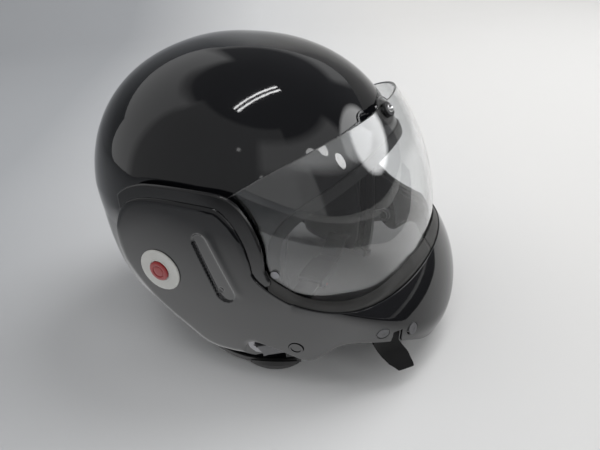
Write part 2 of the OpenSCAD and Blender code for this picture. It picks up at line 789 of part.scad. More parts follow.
rivet_places = [[-87.4, -46], [-65, -52.4]];
rivet_r = 5.1;
rivet_t = 1;
rivet_shank = 2.2;
guide_at = [-76.2, -49.2];
notch_shape = [[-1, -6], [-1.6, -3], [-1, 2.5], [40, 3], [40, -7]];
module chin_bar() {
    color("#131417")
        difference() {
            intersection() {
                chin_form(0);
                across(chin_outline);
            }
            chin_form(chin_wall);
            x_disc(clear_r, -lane_w / 2, lane_w / 2);
            x_disc(bolt_r + fit, -far, far);
            both_sides()
                x_disc(disc_r + 0.3, face_x, arm_x + 1);
            both_sides()
                scoop();
            both_sides()
                pin_place() {
                    cylinder(r = pin_r + fit, h = 30, center = true, $fn = 32);
                    translate([0, 0, -ring_sink])
                        cylinder(r = ring_r + 0.1, h = 10, $fn = 48);
                }
            for (place = rivet_places)
                skin_frame(place[0], place[1]) {
                    cylinder(r = rivet_shank + fit, h = 20, center = true, $fn = 24);
                    translate([0, 0, -rivet_t - 0.4])
                        cylinder(r = rivet_r + 0.4, h = 10, $fn = 48);
                }
            skin_frame(guide_at[0], guide_at[1])
                translate([0, 0, -10])
                    linear_extrude(20)
                        polygon(notch_shape);
        }
}

module chin_pad() {
    color("#2f3033")
        difference() {
            intersection() {
                chin_form(chin_wall + 0.1);
                across(pad_outline);
            }
            sweep_form();
            skin_frame(guide_at[0], guide_at[1])
                translate([-14, -26, -chin_wall - 9])
                    cube([60, 50, 20]);
        }
}

module visor_seal() {
    color("#1a1a1b")
        difference() {
            intersection() {
                chin_form(chin_wall + 0.1);
                across(seal_outline);
            }
            sweep_form();
        }
}

// Rim round an arm: it stands outside the arm's edge and laps under its plate
rim_sink = 1.7;
rim_t = 2.8;
rim_lap = 4;
rim_groove = 1;
module arm_rim() {
    outer = concat(rim_top, reversed(shifted(arm_top, -rim_lap)));
    color("#202123")
        difference() {
            intersection() {
                bowl(arm_x - rim_sink, chin_r - 4, chin_x_power, chin_r_power);
                across(outer);
                translate([0, -far, -far])
                    cube([far, 4 * far, 4 * far]);
            }
            bowl(arm_x - rim_sink - rim_t, chin_r - 7, chin_x_power, chin_r_power);
            difference() {
                across(concat(shifted(arm_top, rim_groove), [[150, 18], [150, -60], [-30, -60]]));
                chin_form(chin_wall + 0.1);
            }
        }
}

// Latch: a pin through the arm carries a lever whose nose seats on the striker post
ring_r = 6;
ring_sink = 0.8;
pin_tilt = 14.6;
pin_low = -8;
lever_high = -4.2;
lever_t = 2.6;
post_x = 119.5;
post_at = polar(post_reach, -post_angle);
module pin_place() {
    arm_frame(pin_reach, -pin_angle, arm_face(pin_reach), pin_tilt)
        children();
}
module latch_pins() {
    color("#8e9196")
        both_sides()
            pin_place() {
                difference() {
                    translate([0, 0, -ring_sink + seat])
                        cylinder(r = ring_r, h = ring_sink + 0.6, $fn = 48);
                    cylinder(r = ring_r - 1.5, h = 10, $fn = 48);
                }
                translate([0, 0, pin_low])
                    cylinder(r = pin_r, h = -pin_low, $fn = 32);
                translate([0, 0, pin_low - 1])
                    cylinder(r = pin_r + 1.5, h = 1, $fn = 32);
            }
}
// Place of the post in the lever's plane, x away from the pivot, y down and back
lever_mid = lever_high - lever_t / 2;
function in_lever(p) =
    let (d = p - polar(pin_reach, -pin_angle), out = polar(1, -pin_angle), down = [-out[1], out[0]])
    [(d * out) / cos(pin_tilt) - lever_mid * tan(pin_tilt), -(d * down)];
nose_seat = post_r + 0.65;
lever_swing = 7.2;
module latch_lever() {
    tip = in_lever(post_at);
    way = unit(tip);
    turn = atan2(tip[1], tip[0]);
    swing = unit(in_lever(post_at + polar(1, 90 - post_angle)) - tip);
    length = norm(tip);
    color("#a4a7ab")
        pin_place()
            translate([0, 0, lever_high - lever_t])
                linear_extrude(lever_t)
                    difference() {
                        union() {
                            circle(r = 7, $fn = 48);
                            rotate(turn)
                                polygon([[0, -6.9], [length - 9, -7.5], [length + 2, -9.5],
                                    [length + 4, -6], [length + 1, 3.6], [length - 6, 4.2],
                                    [length - 16, 4], [0, 6.9]]);
                        }
                        circle(r = pin_r + fit, $fn = 32);
                        hull()
                            for (a = [0, 0.5, 1])
                                rotate(-a * lever_swing)
                                    translate(tip)
                                        circle(r = nose_seat, $fn = 48);
                        translate(tip - 20 * swing)
                            rotate(atan2(swing[1], swing[0]))
                                translate([-20, -30])
                                    square([40, 60]);
                    }
}
module latch_springs() {
    color("#c3c6c9")
        both_sides()
            pin_place()
                translate([0, 0, pin_low + seat])
                    difference() {
                        cylinder(r = 4.4, h = lever_high - lever_t - pin_low - 0.1, $fn = 32);
                        translate([0, 0, -1])
                            cylinder(r = pin_r + fit, h = 5, $fn = 32);
                    }
}

// Striker post on a plate that is seated on the shell
post_place = side(post_at);
plate_r = 10.5;
plate_t = 3;
post_skin = side_x(post_place[0], post_place[1]);
plate_normal = shell_normal([post_skin, post_place[0], post_place[1]]);
module striker_plate() {
    color("#4a4c50")
        difference() {
            facing([post_skin, post_place[0], post_place[1]] + soft_gap * plate_normal, plate_normal)
                cylinder(r = plate_r, h = plate_t, $fn = 48);
            x_disc(post_r + seat, post_skin - 10, post_skin + 20, post_at);
        }
}
module striker_post() {
    color("#c9ccd0") {
        x_disc(post_r, post_skin + 2.4, post_x - 0.8, post_at);
        x_disc(post_r - 0.8, post_x - 0.9, post_x, post_at);
    }
}

// Rubber bump on the trim below the latch
guard_from = -24;
guard_to = -44;
guard_depth = 6.5;
guard_h = 9;
module latch_guard() {
    face = -trim_t - trim_gap - seat;
    steps = 16;
    color("#19191a")
        sweep([for (i = [0 : steps]) let (
            phi = mix(guard_from, guard_to, i / steps),
            s = 0.12 + 0.88 * pow(sin(180 * i / steps), 0.8),
            d = guard_depth * s,
            h = guard_h * (0.35 + 0.65 * s))
            [ring_point(phi, min(h, trim_h), face), ring_point(phi, 0.02, face),
                ring_point(phi, 0.02, face - d + 1), ring_point(phi, 1.6, face - d),
                ring_point(phi, h * 0.6, face - d + 0.8), ring_point(phi, h, face - d * 0.45)]]);
}

// Chin strap: anchor on the inner wall, webbing through the cheek pad, ratchet buckle
strap_y = -36;
strap_z = 36;
buckle_z = 24;
stud_z = 50;
anchor_r = 10;
anchor_x = side_x(strap_y - anchor_r, stud_z - anchor_r, shell_wall) - soft_gap;
anchor_t = 1.6;
strap_x = anchor_x - anchor_t - strap_t / 2 - 0.1;
module anchor_disc(r, x0, x1) {
    translate([x0, strap_y, stud_z])
        rotate([0, 90, 0])
            cylinder(r = r, h = x1 - x0, $fn = 40);
}
module strap_anchors() {
    color("#7b7e82")
        both_sides() {
            anchor_disc(anchor_r, anchor_x - anchor_t, anchor_x);
            anchor_disc(4, strap_x - strap_t / 2 - 0.3, anchor_x - 0.1);
            anchor_disc(6, strap_x - strap_t / 2 - 1.3, strap_x - strap_t / 2 - 0.1);
        }
}
function ribbon(path, t) = concat(shifted(path, t / 2), reversed(shifted(path, -t / 2)));
strap_path = concat([[strap_x, stud_z + 9], [strap_x, strap_z + 6]],
    arc([strap_x - 6, strap_z + 6], 6, -15, -90, 5),
    [[68, strap_z]], arc([68, strap_z - 8], 8, 105, 140, 3),
    [[47, 26.5], [40, buckle_z + 0.4], [30, buckle_z], [23.5, buckle_z]]);
module webbing(path) {
    translate([0, strap_y + strap_w / 2, 0])
        rotate([90, 0, 0])
            linear_extrude(strap_w)
                polygon(ribbon(path, strap_t));
}
module chin_strap() {
    color("#202022")
        difference() {
            webbing(strap_path);
            anchor_disc(4.1, strap_x - 5, strap_x + 5);
        }
}
buckle_w = 27;
buckle_x0 = -8;
buckle_x1 = 29.8;
buckle_h = 9;
hinge_x = 4;
hinge_z = buckle_z - 6.2;
module y_cyl(r, w, x, z) {
    translate([x, strap_y + w / 2, z])
        rotate([90, 0, 0])
            cylinder(r = r, h = w, $fn = 32);
}
module y_block(x0, x1, w, z0, z1) {
    translate([x0, strap_y - w / 2, z0])
        cube([x1 - x0, w, z1 - z0]);
}
module buckle_body() {
    color("#1b1b1c")
        difference() {
            union() {
                y_block(buckle_x0 + 2, buckle_x1 - 2, buckle_w, buckle_z - 4, buckle_z + buckle_h - 4);
                y_cyl(2, buckle_w, buckle_x0 + 2, buckle_z - 2);
                y_block(buckle_x0, buckle_x0 + 4, buckle_w, buckle_z - 2, buckle_z + 3);
                y_cyl(2, buckle_w, buckle_x0 + 2, buckle_z + 3);
                y_block(buckle_x1 - 3, buckle_x1, buckle_w, buckle_z - 3, buckle_z + 3.5);
                y_block(hinge_x - 4, hinge_x + 4, buckle_w, hinge_z, buckle_z - 3.9);
                y_cyl(4, buckle_w, hinge_x, hinge_z);
            }
            y_block(buckle_x0 - 1, 20, strap_w - 2, buckle_z - 1.5, buckle_z + 1.7);
            y_block(22, buckle_x1 + 1, strap_w + 0.6, buckle_z - 1.4, buckle_z + 1.4);
            y_block(hinge_x - 5, hinge_x + 5, buckle_w - 6, hinge_z - 5, buckle_z - 3.6);
            y_cyl(1.5 + fit, buckle_w + 2, hinge_x, hinge_z);
        }
}
module buckle_lever() {
    color("#b3261e")
        union() {
            y_cyl(1.5, buckle_w, hinge_x, hinge_z);
            y_cyl(2.2, buckle_w - 6.6, hinge_x, hinge_z);
            y_block(hinge_x, hinge_x + 22, buckle_w - 6.6, hinge_z - 2.2, hinge_z + 0.4);
            y_cyl(1.7, buckle_w - 6.6, hinge_x + 22, hinge_z - 0.5);
        }
}
// Toothed strip on the end of the right strap
module buckle_tongue() {
    tooth = 2.4;
    count = 9;
    color("#2d2d2f")
        difference() {
            y_block(-30, 16, strap_w - 2.6, buckle_z - 1.2, buckle_z + 1.4);
            for (i = [0 : count - 1])
                translate([-6 + i * tooth, 0, buckle_z - 1.2])
                    rotate([0, 45, 0])
                        translate([-0.6, strap_y - strap_w / 2, -0.6])
                            cube([1.2, strap_w, 1.2]);
            y_block(-31, -22, strap_w, buckle_z - 2, buckle_z + 0.1);
        }
}
module right_strap() {
    lowered = [for (p = strap_path) if (p[0] > 45) p];
    path = concat(lowered, [[38, buckle_z - 0.4], [33, buckle_z - 1.1], [22.6, buckle_z - 1.1]]);
    color("#202022")
        difference() {
            webbing(path);
            anchor_disc(4.1, strap_x - 5, strap_x + 5);
        }
}

// Release tab: its shank slides between two bosses behind the wall of the chin
module tab_rivets() {
    color("#9b9da0")
        for (place = rivet_places)
            skin_frame(place[0], place[1]) {
                translate([0, 0, -rivet_t - 0.4 + seat])
                    difference() {
                        cylinder(r = rivet_r, h = rivet_t, $fn = 48);
                        translate([0, 0, rivet_t - 0.5])
                            cylinder(r = 2, h = 2, $fn = 6);
                    }
                translate([0, 0, -8.6])
                    cylinder(r = rivet_shank, h = 8, $fn = 24);
            }
}
module tab_guide() {
    color("#3b3c3f")
        difference() {
            intersection() {
                union() {
                    skin_frame(guide_at[0], guide_at[1])
                        translate([-6, -20, -10.6])
                            cube([12, 40, 1.8]);
                    for (place = rivet_places)
                        skin_frame(place[0], place[1])
                            translate([0, 0, -9.6])
                                cylinder(r = 4.4, h = 9, $fn = 40);
                }
                chin_form(chin_wall + 0.2);
            }
            for (place = rivet_places)
                skin_frame(place[0], place[1])
                    cylinder(r = rivet_shank + fit, h = 40, center = true, $fn = 24);
        }
}
tab_shape = [[-4, -9], [5, -9], [6.5, -4.2], [11, -5], [13, -19], [15, -20.5], [23, -17],
    [29, -13.5], [34, -9], [38, -1], [40, 6], [40, 10], [36, 12.5], [31, 11.5], [26, 8], [19, 4.2],
    [6.5, 4.2], [5, 6], [-4, 6]];
tab_line = curve([[-8, -7.4], [12, -7.1], [20, -6], [26, -3.6], [31.5, 0.6], [35.5, 6], [38, 11.8]], 4);
module pull_tab() {
    color("#0e0e0f")
        skin_frame(guide_at[0], guide_at[1])
            intersection() {
                translate([0, 0, -20])
                    linear_extrude(60)
                        polygon([for (p = tab_shape) [p[0], p[1] * tab_w / 25]]);
                translate([0, 40, 0])
                    rotate([90, 0, 0])
                        linear_extrude(80)
                            polygon(ribbon(tab_line, tab_t));
            }
}

outer_shell();
neck_trim();
face_trim();
foam_liner();
crown_pad();
on_side("right") cheek_pad();  // cheek_pad_right
on_side("left") cheek_pad();  // cheek_pad_left
neck_roll();
on_side("right") pivot_base();  // pivot_base_right
on_side("left") pivot_base();  // pivot_base_left
base_screws();
on_side("right") pivot_bolt();  // pivot_bolt_right
on_side("left") pivot_bolt();  // pivot_bolt_left
on_side("right") striker_plate();  // striker_plate_right
on_side("left") striker_plate();  // striker_plate_left
on_side("right") striker_post();  // striker_post_right
on_side("left") striker_post();  // striker_post_left
on_side("right") latch_guard();  // latch_guard_right
on_side("left") latch_guard();  // latch_guard_left
forehead_clip();
strap_anchors();
on_side("right") right_strap();  // chin_strap_right
on_side("left") chin_strap();  // chin_strap_left
buckle_body();
buckle_lever();
buckle_tongue();
visor();
on_side("right") visor_bush();  // visor_bush_right
on_side("left") visor_bush();  // visor_bush_left
visor_studs();
knob_collar();
knob_button();
chin_bar();
chin_pad();
visor_seal();
on_side("right") arm_rim();  // arm_rim_right
on_side("left") arm_rim();  // arm_rim_left
on_side("right") pivot_disc();  // pivot_disc_right
on_side("left") pivot_disc();  // pivot_disc_left
on_side("right") pivot_cap();  // pivot_cap_right
on_side("left") pivot_cap();  // pivot_cap_left
latch_pins();
on_side("right") latch_lever();  // latch_lever_right
on_side("left") latch_lever();  // latch_lever_left
latch_springs();
tab_rivets();
tab_guide();
pull_tab();
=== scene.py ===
# Looks of the modular helmet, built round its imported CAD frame.
# Lengths are in millimetres and turn into metres when a mesh is made. Lights are placed in metres.
import json
import math

import bpy
import numpy as np
from mathutils import Matrix, Vector
from mathutils.bvhtree import BVHTree


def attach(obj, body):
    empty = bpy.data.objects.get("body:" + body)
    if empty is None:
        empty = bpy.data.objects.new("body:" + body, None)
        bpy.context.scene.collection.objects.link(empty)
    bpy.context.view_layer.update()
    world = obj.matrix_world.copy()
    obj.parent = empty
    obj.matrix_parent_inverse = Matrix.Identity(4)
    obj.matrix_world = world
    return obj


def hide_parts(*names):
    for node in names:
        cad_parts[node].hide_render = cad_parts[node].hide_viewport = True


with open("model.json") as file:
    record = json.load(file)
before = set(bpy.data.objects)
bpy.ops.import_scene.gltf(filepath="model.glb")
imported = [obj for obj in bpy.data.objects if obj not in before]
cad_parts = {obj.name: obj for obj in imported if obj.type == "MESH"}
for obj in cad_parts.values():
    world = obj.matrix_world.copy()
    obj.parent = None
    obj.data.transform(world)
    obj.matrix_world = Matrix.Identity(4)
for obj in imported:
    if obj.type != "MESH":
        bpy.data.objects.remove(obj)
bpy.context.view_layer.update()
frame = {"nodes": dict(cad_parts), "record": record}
MM = 0.001

# Sizes, as in the part's source but for the smaller knob
SHELL_W, SHELL_L, SHELL_TOP = 124.8, 149.0, 266.0
BELT_Z, SHELL_Y, FLAT_X, RIM_Z = 125.0, 26.0, 118.0, 3.0
WAIST_W, WAIST_L = 0.12, 0.19
BELT_POWER, RIM_POWER, WAIST_POWER, CROWN_POWER = 2.3, 2.8, 2.2, 2.2
SHELL_WALL, SHELL_EDGE, SIDE_BLEND = 4.0, 1.2, 2.5
PIVOT_Y, PIVOT_Z = 40.0, 104.0
ARM_X, CHIN_R, CHIN_WALL, CHIN_EDGE = 131.5, 227.5, 3.2, 0.9
NOSE_AXIS, NOSE_FROM, NOSE_X, NOSE_R = (82.5, -85.0), 118.0, 140.0, 132.5
VISOR_X, VISOR_R, VISOR_T, VISOR_EDGE, VISOR_POWER = 126.0, 187.5, 2.6, 0.8, 2.6
DISC_R, CAP_R = 19.5, 9.0
FACE_X = ARM_X - 0.3
KNOB_ANGLE = math.radians(36)
KNOB_R = 6.4
PIN_REACH, PIN_ANGLE = 130.5, math.radians(-26.5)
EDGE_Y, BROW_Y, BROW_Z, BROW_SLOPE = -64.0, -113.0, 181.0, 0.62


# Outlines in the side view
def curve(keys, steps=6):
    """Smooth curve through key points, as in the part's source but finer."""
    k = np.array(keys, float)
    n = len(k)
    out = []
    for i in range(n - 1):
        a, b, c, d = k[max(0, i - 1)], k[i], k[i + 1], k[min(n - 1, i + 2)]
        for j in range(steps):
            t = j / steps
            out.append(0.5 * (2 * b + (c - a) * t + (2 * a - 5 * b + 4 * c - d) * t * t
                              + (3 * b - a - 3 * c + d) * t ** 3))
    out.append(k[-1])
    return np.array(out)


def unit(v):
    return v / np.linalg.norm(v, axis=1)[:, None]


def shifted(path, distance):
    """The curve moved to its left."""
    ahead = np.vstack([path[1:], path[-1:]]) - np.vstack([path[:1], path[:-1]])
    return path + distance * unit(np.stack([-ahead[:, 1], ahead[:, 0]], 1))


ARM_TOP = curve([[-39, -1], [-42, 14], [-41, 31], [-34, 48], [-24, 59], [-10, 65.5], [5, 68], [22, 69],
                 [40, 69], [54, 68.6], [62, 67.5], [68, 63.5], [76, 54], [83, 39], [86.5, 24], [87.5, 15]])
CHIN_LIP = curve([[87.5, 15], [92.2, 7.8], [104, -1.6], [119, -10.2], [138, -15.2], [155, -17.5],
                  [174, -18.6], [189, -17.2], [200, -14.5]])
CHIN_LOW = curve([[210, -93], [204, -82], [199, -71], [191, -62.5], [179, -57], [168, -53.8],
                  [155, -53.2], [144, -60], [135, -69], [128, -73.5], [121, -73.6], [114, -70.5],
                  [104, -64.5], [92, -60], [83, -58.3], [76.5, -60.5], [72, -66], [70, -75]])
ARM_LOW = curve([[70, -75], [58, -76], [42, -75], [30, -70.5], [16, -59], [0, -47], [-17, -32],
                 [-30, -16], [-39, -1]])
CHIN_OUTLINE = np.vstack([ARM_TOP, CHIN_LIP, [[236, -13], [236, -93]], CHIN_LOW, ARM_LOW])
RIM_TOP = curve([[-39.5, 1], [-44, 14], [-46.3, 33], [-40, 55], [-27, 69], [-11, 76], [5, 78.5],
                 [24, 79.4], [48, 79.5], [63, 78.5], [74, 75], [83, 66.5], [91, 53], [96, 38],
                 [97.3, 27], [97.5, 19]])
VISOR_TOP = curve([[3, 24], [28, 45.5], [52, 63], [72.4, 77], [85.8, 85.6], [102.5, 95], [117.2, 102.6],
                   [130.1, 108.8], [138.7, 112], [147, 114.5]])
VISOR_LOW = curve([[190, -6], [184, -8.5], [179, -12.5], [168, -16.6], [155, -18.2], [141, -17],
                   [125, -13.5], [112, -9], [100, -6], [80, -8], [50, -13], [24, -19], [14, -21.6]])
SEAL_TOP = curve([[96.3, 17.8], [100.3, 9.1], [111, 0.6], [124, -7.6], [143, -13.1], [157, -14.4],
                  [170, -12.2], [181, -5.6], [186.5, -2.2]])


def circle_arc(radius, a0, a1, n):
    a = np.radians(np.linspace(a0, a1, n))
    return np.stack([radius * np.cos(a), radius * np.sin(a)], 1)


VISOR_OUTLINE = np.vstack([circle_arc(24, 285, 82, 40), VISOR_TOP, [[160, 118], [215, 130], [215, -6]],
                           VISOR_LOW])


def polygon_distance(points, polygon):
    """Signed distance of points to a polygon, negative inside."""
    best = np.full(len(points), 1e9)
    inside = np.zeros(len(points), bool)
    for (ax, ay), (bx, by) in zip(polygon, np.roll(polygon, -1, 0)):
        dx, dy = bx - ax, by - ay
        length2 = dx * dx + dy * dy
        if length2 < 1e-9:
            continue
        px, py = points[:, 0] - ax, points[:, 1] - ay
        t = np.clip((px * dx + py * dy) / length2, 0, 1)
        best = np.minimum(best, (px - t * dx) ** 2 + (py - t * dy) ** 2)
        crosses = ((ay > points[:, 1]) != (by > points[:, 1]))
        with np.errstate(divide="ignore", invalid="ignore"):
            at = ax + (points[:, 1] - ay) / (dy if dy else 1e-12) * dx
        inside ^= crosses & (points[:, 0] < at)
    d = np.sqrt(best)
    return np.where(inside, -d, d)


def side_view(p):
    """Forward of and above the pivot axis."""
    return np.stack([PIVOT_Y - p[:, 1], p[:, 2] - PIVOT_Z], 1)


# Forms, negative inside
def smax(a, b, k):
    """Larger of two values, rounded where they meet."""
    h = np.maximum(k - np.abs(a - b), 0)
    return np.maximum(a, b) + h * h / (4 * k)


def bowl(p, half, reach, x_power, r_power, centre=(0, 0)):
    """Bowl about an axis along X, of a half width and a reach from the axis."""
    s = side_view(p) - np.array(centre)
    g = (np.abs(p[:, 0]) / half) ** x_power + (np.hypot(s[:, 0], s[:, 1]) / reach) ** r_power
    return (g ** (2 / (x_power + r_power)) - 1) * reach


CREASE = 4.0
CHIN_CENTRE, VISOR_CENTRE, SHELL_CENTRE = (0, 20, 84), (0, 20, 104), (0, 26, 118)
FAR = 50.0


def chin_form(p, inset=0.0):
    main = bowl(p, ARM_X - inset, CHIN_R - inset, 2, 3)
    nose = bowl(p, NOSE_X - inset, NOSE_R - inset, 2, 3, NOSE_AXIS)
    behind = np.maximum(0, NOSE_FROM - (PIVOT_Y - p[:, 1]))
    return smax(main, nose - 2.0 * behind, CREASE)


def visor_form(p, inset=0.0):
    return bowl(p, VISOR_X - inset, VISOR_R - inset, VISOR_POWER, 3)


def shell_form(p, inset=0.0):
    x, y, z = np.abs(p[:, 0]), np.abs(p[:, 1] - SHELL_Y), p[:, 2]
    low = np.maximum(0, (BELT_Z - z) / BELT_Z)
    w = SHELL_W * (1 - WAIST_W * low ** WAIST_POWER) - inset
    l = SHELL_L * (1 - WAIST_L * low ** WAIST_POWER) - inset
    power = BELT_POWER + (RIM_POWER - BELT_POWER) * low
    base = ((x / w) ** power + (y / l) ** power) ** (1 / power)
    up = np.maximum(0, (z - BELT_Z) / (SHELL_TOP - BELT_Z - inset))
    g = (base ** CROWN_POWER + up ** CROWN_POWER) ** (1 / CROWN_POWER)
    return smax((g - 1) * SHELL_W, x - (FLAT_X - inset), SIDE_BLEND)


RAISE, RAISE_BELOW = 37.0, 85.0
TUCK, TUCK_BELOW = 22.0, 150.0
NAPE_FROM, NAPE_LENGTH = -30.0, 140.0


def smoothstep(t):
    t = np.clip(t, 0, 1)
    return t * t * (3 - 2 * t)


def tucked(p):
    """The shell's lower rear drawn in and its rim raised toward the nape."""
    p = np.asarray(p, float)
    behind = smoothstep((p[:, 1] - NAPE_FROM) / NAPE_LENGTH)
    q = p.copy()
    q[:, 2] += RAISE * behind * np.clip(1 - p[:, 2] / RAISE_BELOW, 0, 1) ** 1.5
    q[:, 1] -= TUCK * behind * np.clip(1 - p[:, 2] / TUCK_BELOW, 0, 1) ** 1.1
    return q


def tucked_normals(p, n, h=0.05):
    j = np.stack([(tucked(p + h * e) - tucked(p - h * e)) / (2 * h) for e in np.eye(3)], 2)
    return unit(np.einsum("nji,nj->ni", np.linalg.inv(j), n))


# Surfaces seen from a centre
NEAREST, FARTHEST = 5.0, 320.0


class Surface:
    """The skin of a form as a function of azimuth and elevation about a centre."""

    def __init__(self, form, centre, dent=None):
        self.form, self.centre, self.dent = form, np.array(centre, float), dent

    def skin(self, az, el):
        d = np.stack([np.sin(az) * np.cos(el), -np.cos(az) * np.cos(el), np.sin(el)], 1)
        lo, hi = np.full(len(az), NEAREST), np.full(len(az), FARTHEST)
        for _ in range(30):
            mid = (lo + hi) / 2
            inside = self.form(self.centre + d * mid[:, None]) < 0
            lo, hi = np.where(inside, mid, lo), np.where(inside, hi, mid)
        return self.centre + d * lo[:, None]

    def gradient(self, p, h=0.05):
        return unit(np.stack([self.form(p + h * e) - self.form(p - h * e) for e in np.eye(3)], 1))

    def point(self, az, el):
        p = self.skin(az, el)
        if self.dent is not None:
            p = p - self.gradient(p) * self.dent(p)[:, None]
        return p

    def point_normal(self, az, el, h=0.0015):
        p = self.point(az, el)
        if self.dent is None:
            return p, self.gradient(p)
        along = self.point(az + h, el) - self.point(az - h, el)
        up = self.point(az, el + h) - self.point(az, el - h)
        return p, unit(np.cross(along, up))


def lines(*parts):
    """Grid lines from (end, step) parts in degrees, starting at the first number."""
    out = [parts[0]]
    for end, step in parts[1:]:
        n = max(1, round((end - out[-1]) / step))
        out.extend(np.linspace(out[-1], end, n + 1)[1:])
    return np.radians(np.array(out))


def trimmed_grid(surface, az, el, trim, edge):
    """Grid of the surface, cut where trim rises above -edge. Gives azimuths, elevations and faces."""
    A, E = [m.ravel() for m in np.meshgrid(az, el, indexing="ij")]
    T = trim(surface.point(A, E)) + edge
    keep = T < 0
    n = np.arange(len(A)).reshape(len(az), len(el))
    cells = np.stack([n[:-1, :-1], n[1:, :-1], n[1:, 1:], n[:-1, 1:]], 2).reshape(-1, 4)
    corners = keep[cells].sum(1)
    quads = cells[corners == 4]
    crossing = {}
    pairs = []
    polygons = []
    for cell in cells[(corners > 0) & (corners < 4)].tolist():
        polygon = []
        for i, j in zip(cell, cell[1:] + cell[:1]):
            if keep[i]:
                polygon.append(i)
            if keep[i] != keep[j]:
                key = (min(i, j), max(i, j))
                if key not in crossing:
                    crossing[key] = len(pairs)
                    pairs.append((i, j) if keep[i] else (j, i))
                polygon.append(-1 - crossing[key])
        polygons.append(polygon)
    pairs = np.array(pairs).reshape(-1, 2)
    lo, hi = np.zeros(len(pairs)), np.ones(len(pairs))
    a0, a1, e0, e1 = A[pairs[:, 0]], A[pairs[:, 1]], E[pairs[:, 0]], E[pairs[:, 1]]
    for _ in range(12):
        t = (lo + hi) / 2
        inside = trim(surface.point(a0 + (a1 - a0) * t, e0 + (e1 - e0) * t)) + edge < 0
        lo, hi = np.where(inside, t, lo), np.where(inside, hi, t)
    t = (lo + hi) / 2
    kept = [np.array([i for i in p if i >= 0], int) for p in polygons]
    used = np.unique(np.concatenate([quads.ravel()] + kept))
    index = np.full(len(A), -1)
    index[used] = np.arange(len(used))
    A_all = np.concatenate([A[used], a0 + (a1 - a0) * t])
    E_all = np.concatenate([E[used], e0 + (e1 - e0) * t])
    n_used = len(used)
    faces = [tuple(index[q]) for q in quads]
    for p in polygons:
        f = tuple(index[i] if i >= 0 else n_used - 1 - i for i in p)
        if len(f) >= 3:
            faces.append(f)
    return A_all, E_all, faces


def border_loops(faces):
    """Border of a patch as closed loops of vertex indices, in the direction of its faces."""
    edges = {}
    for f in faces:
        for a, b in zip(f, f[1:] + f[:1]):
            if (b, a) in edges:
                del edges[(b, a)]
            else:
                edges[(a, b)] = True
    ahead = dict(list(edges))
    loops = []
    while ahead:
        loop = [next(iter(ahead))]
        while loop[-1] in ahead:
            loop.append(ahead.pop(loop[-1]))
        if len(loop) > 4:
            loops.append(loop[:-1])
    return loops


def smooth_loop(values):
    for _ in range(2):
        values = (np.roll(values, 1, 0) + 2 * values + np.roll(values, -1, 0)) / 4
    return values


def walled(points, normals, faces, wall, radius, arc, inner, inner_n):
    """Closed solid from a patch: the patch, a rounded edge all round, and an inner skin."""
    count = total = len(points)
    V, N, F = [points], [normals], list(faces)
    turns = [math.pi / 2 * k / arc for k in range(arc + 1)]
    inner_of = {}
    for loop in border_loops(faces):
        idx = np.array(loop)
        P, n = points[idx], normals[idx]
        t = np.roll(P, -1, 0) - np.roll(P, 1, 0)
        t /= np.maximum(np.linalg.norm(t, axis=1)[:, None], 1e-9)
        e = unit(smooth_loop(np.cross(t, n)))
        ring = [(P + radius * math.sin(a) * e - radius * (1 - math.cos(a)) * n,
                 n * math.cos(a) + e * math.sin(a)) for a in turns[1:]]
        ring += [(inner[idx] + radius * math.cos(a) * e - (wall - radius + radius * math.sin(a)) * n,
                  e * math.cos(a) - n * math.sin(a)) for a in turns]
        rows = [idx]
        for at, facing in ring:
            V.append(at)
            N.append(facing)
            rows.append(total + np.arange(len(idx)))
            total += len(idx)
        for r0, r1 in zip(rows[:-1], rows[1:]):
            for j in range(len(idx)):
                k = (j + 1) % len(idx)
                F.append((r0[k], r0[j], r1[j], r1[k]))
        for i, r in zip(loop, rows[-1]):
            inner_of.setdefault(i, int(r))
    rest = [i for i in range(count) if i not in inner_of]
    for k, i in enumerate(rest):
        inner_of[i] = total + k
    rest = np.array(rest, int)
    V.append(inner[rest] - wall * inner_n[rest])
    N.append(-inner_n[rest])
    F.extend(tuple(inner_of[i] for i in reversed(f)) for f in faces)
    return np.vstack(V), np.vstack(N), F


def moulded(surface, az, el, trim, wall, edge, arc=4):
    """Closed solid of a trimmed surface with an even wall. The inner skin has no dents."""
    A, E, faces = trimmed_grid(surface, az, el, trim, edge)
    points, normals = surface.point_normal(A, E)
    inner, inner_n = points, normals
    if surface.dent is not None:
        inner = surface.skin(A, E)
        inner_n = surface.gradient(inner)
    return walled(points, normals, faces, wall, edge, arc, inner, inner_n)


# Meshes
def dress(o, name, material, body, replaces):
    """Gives a piece its name and material and puts it in the place of its CAD nodes."""
    o.name = name
    o.data.name = name
    o.data.materials.append(material)
    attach(o, body)
    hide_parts(*replaces)
    return o


def make(name, V, F, N=None, body=None, replaces=(), material=None):
    """Object from points in millimetres, with its own normals where they are given."""
    mesh = bpy.data.meshes.new(name)
    mesh.from_pydata((np.asarray(V) * MM).tolist(), [], [tuple(int(i) for i in f) for f in F])
    mesh.update()
    mesh.shade_smooth()
    if N is not None:
        mesh.normals_split_custom_set_from_vertices(np.asarray(N).tolist())
    o = bpy.data.objects.new(name, mesh)
    bpy.context.scene.collection.objects.link(o)
    if body:
        return dress(o, name, material, body, replaces)
    mesh.materials.append(material)
    return o


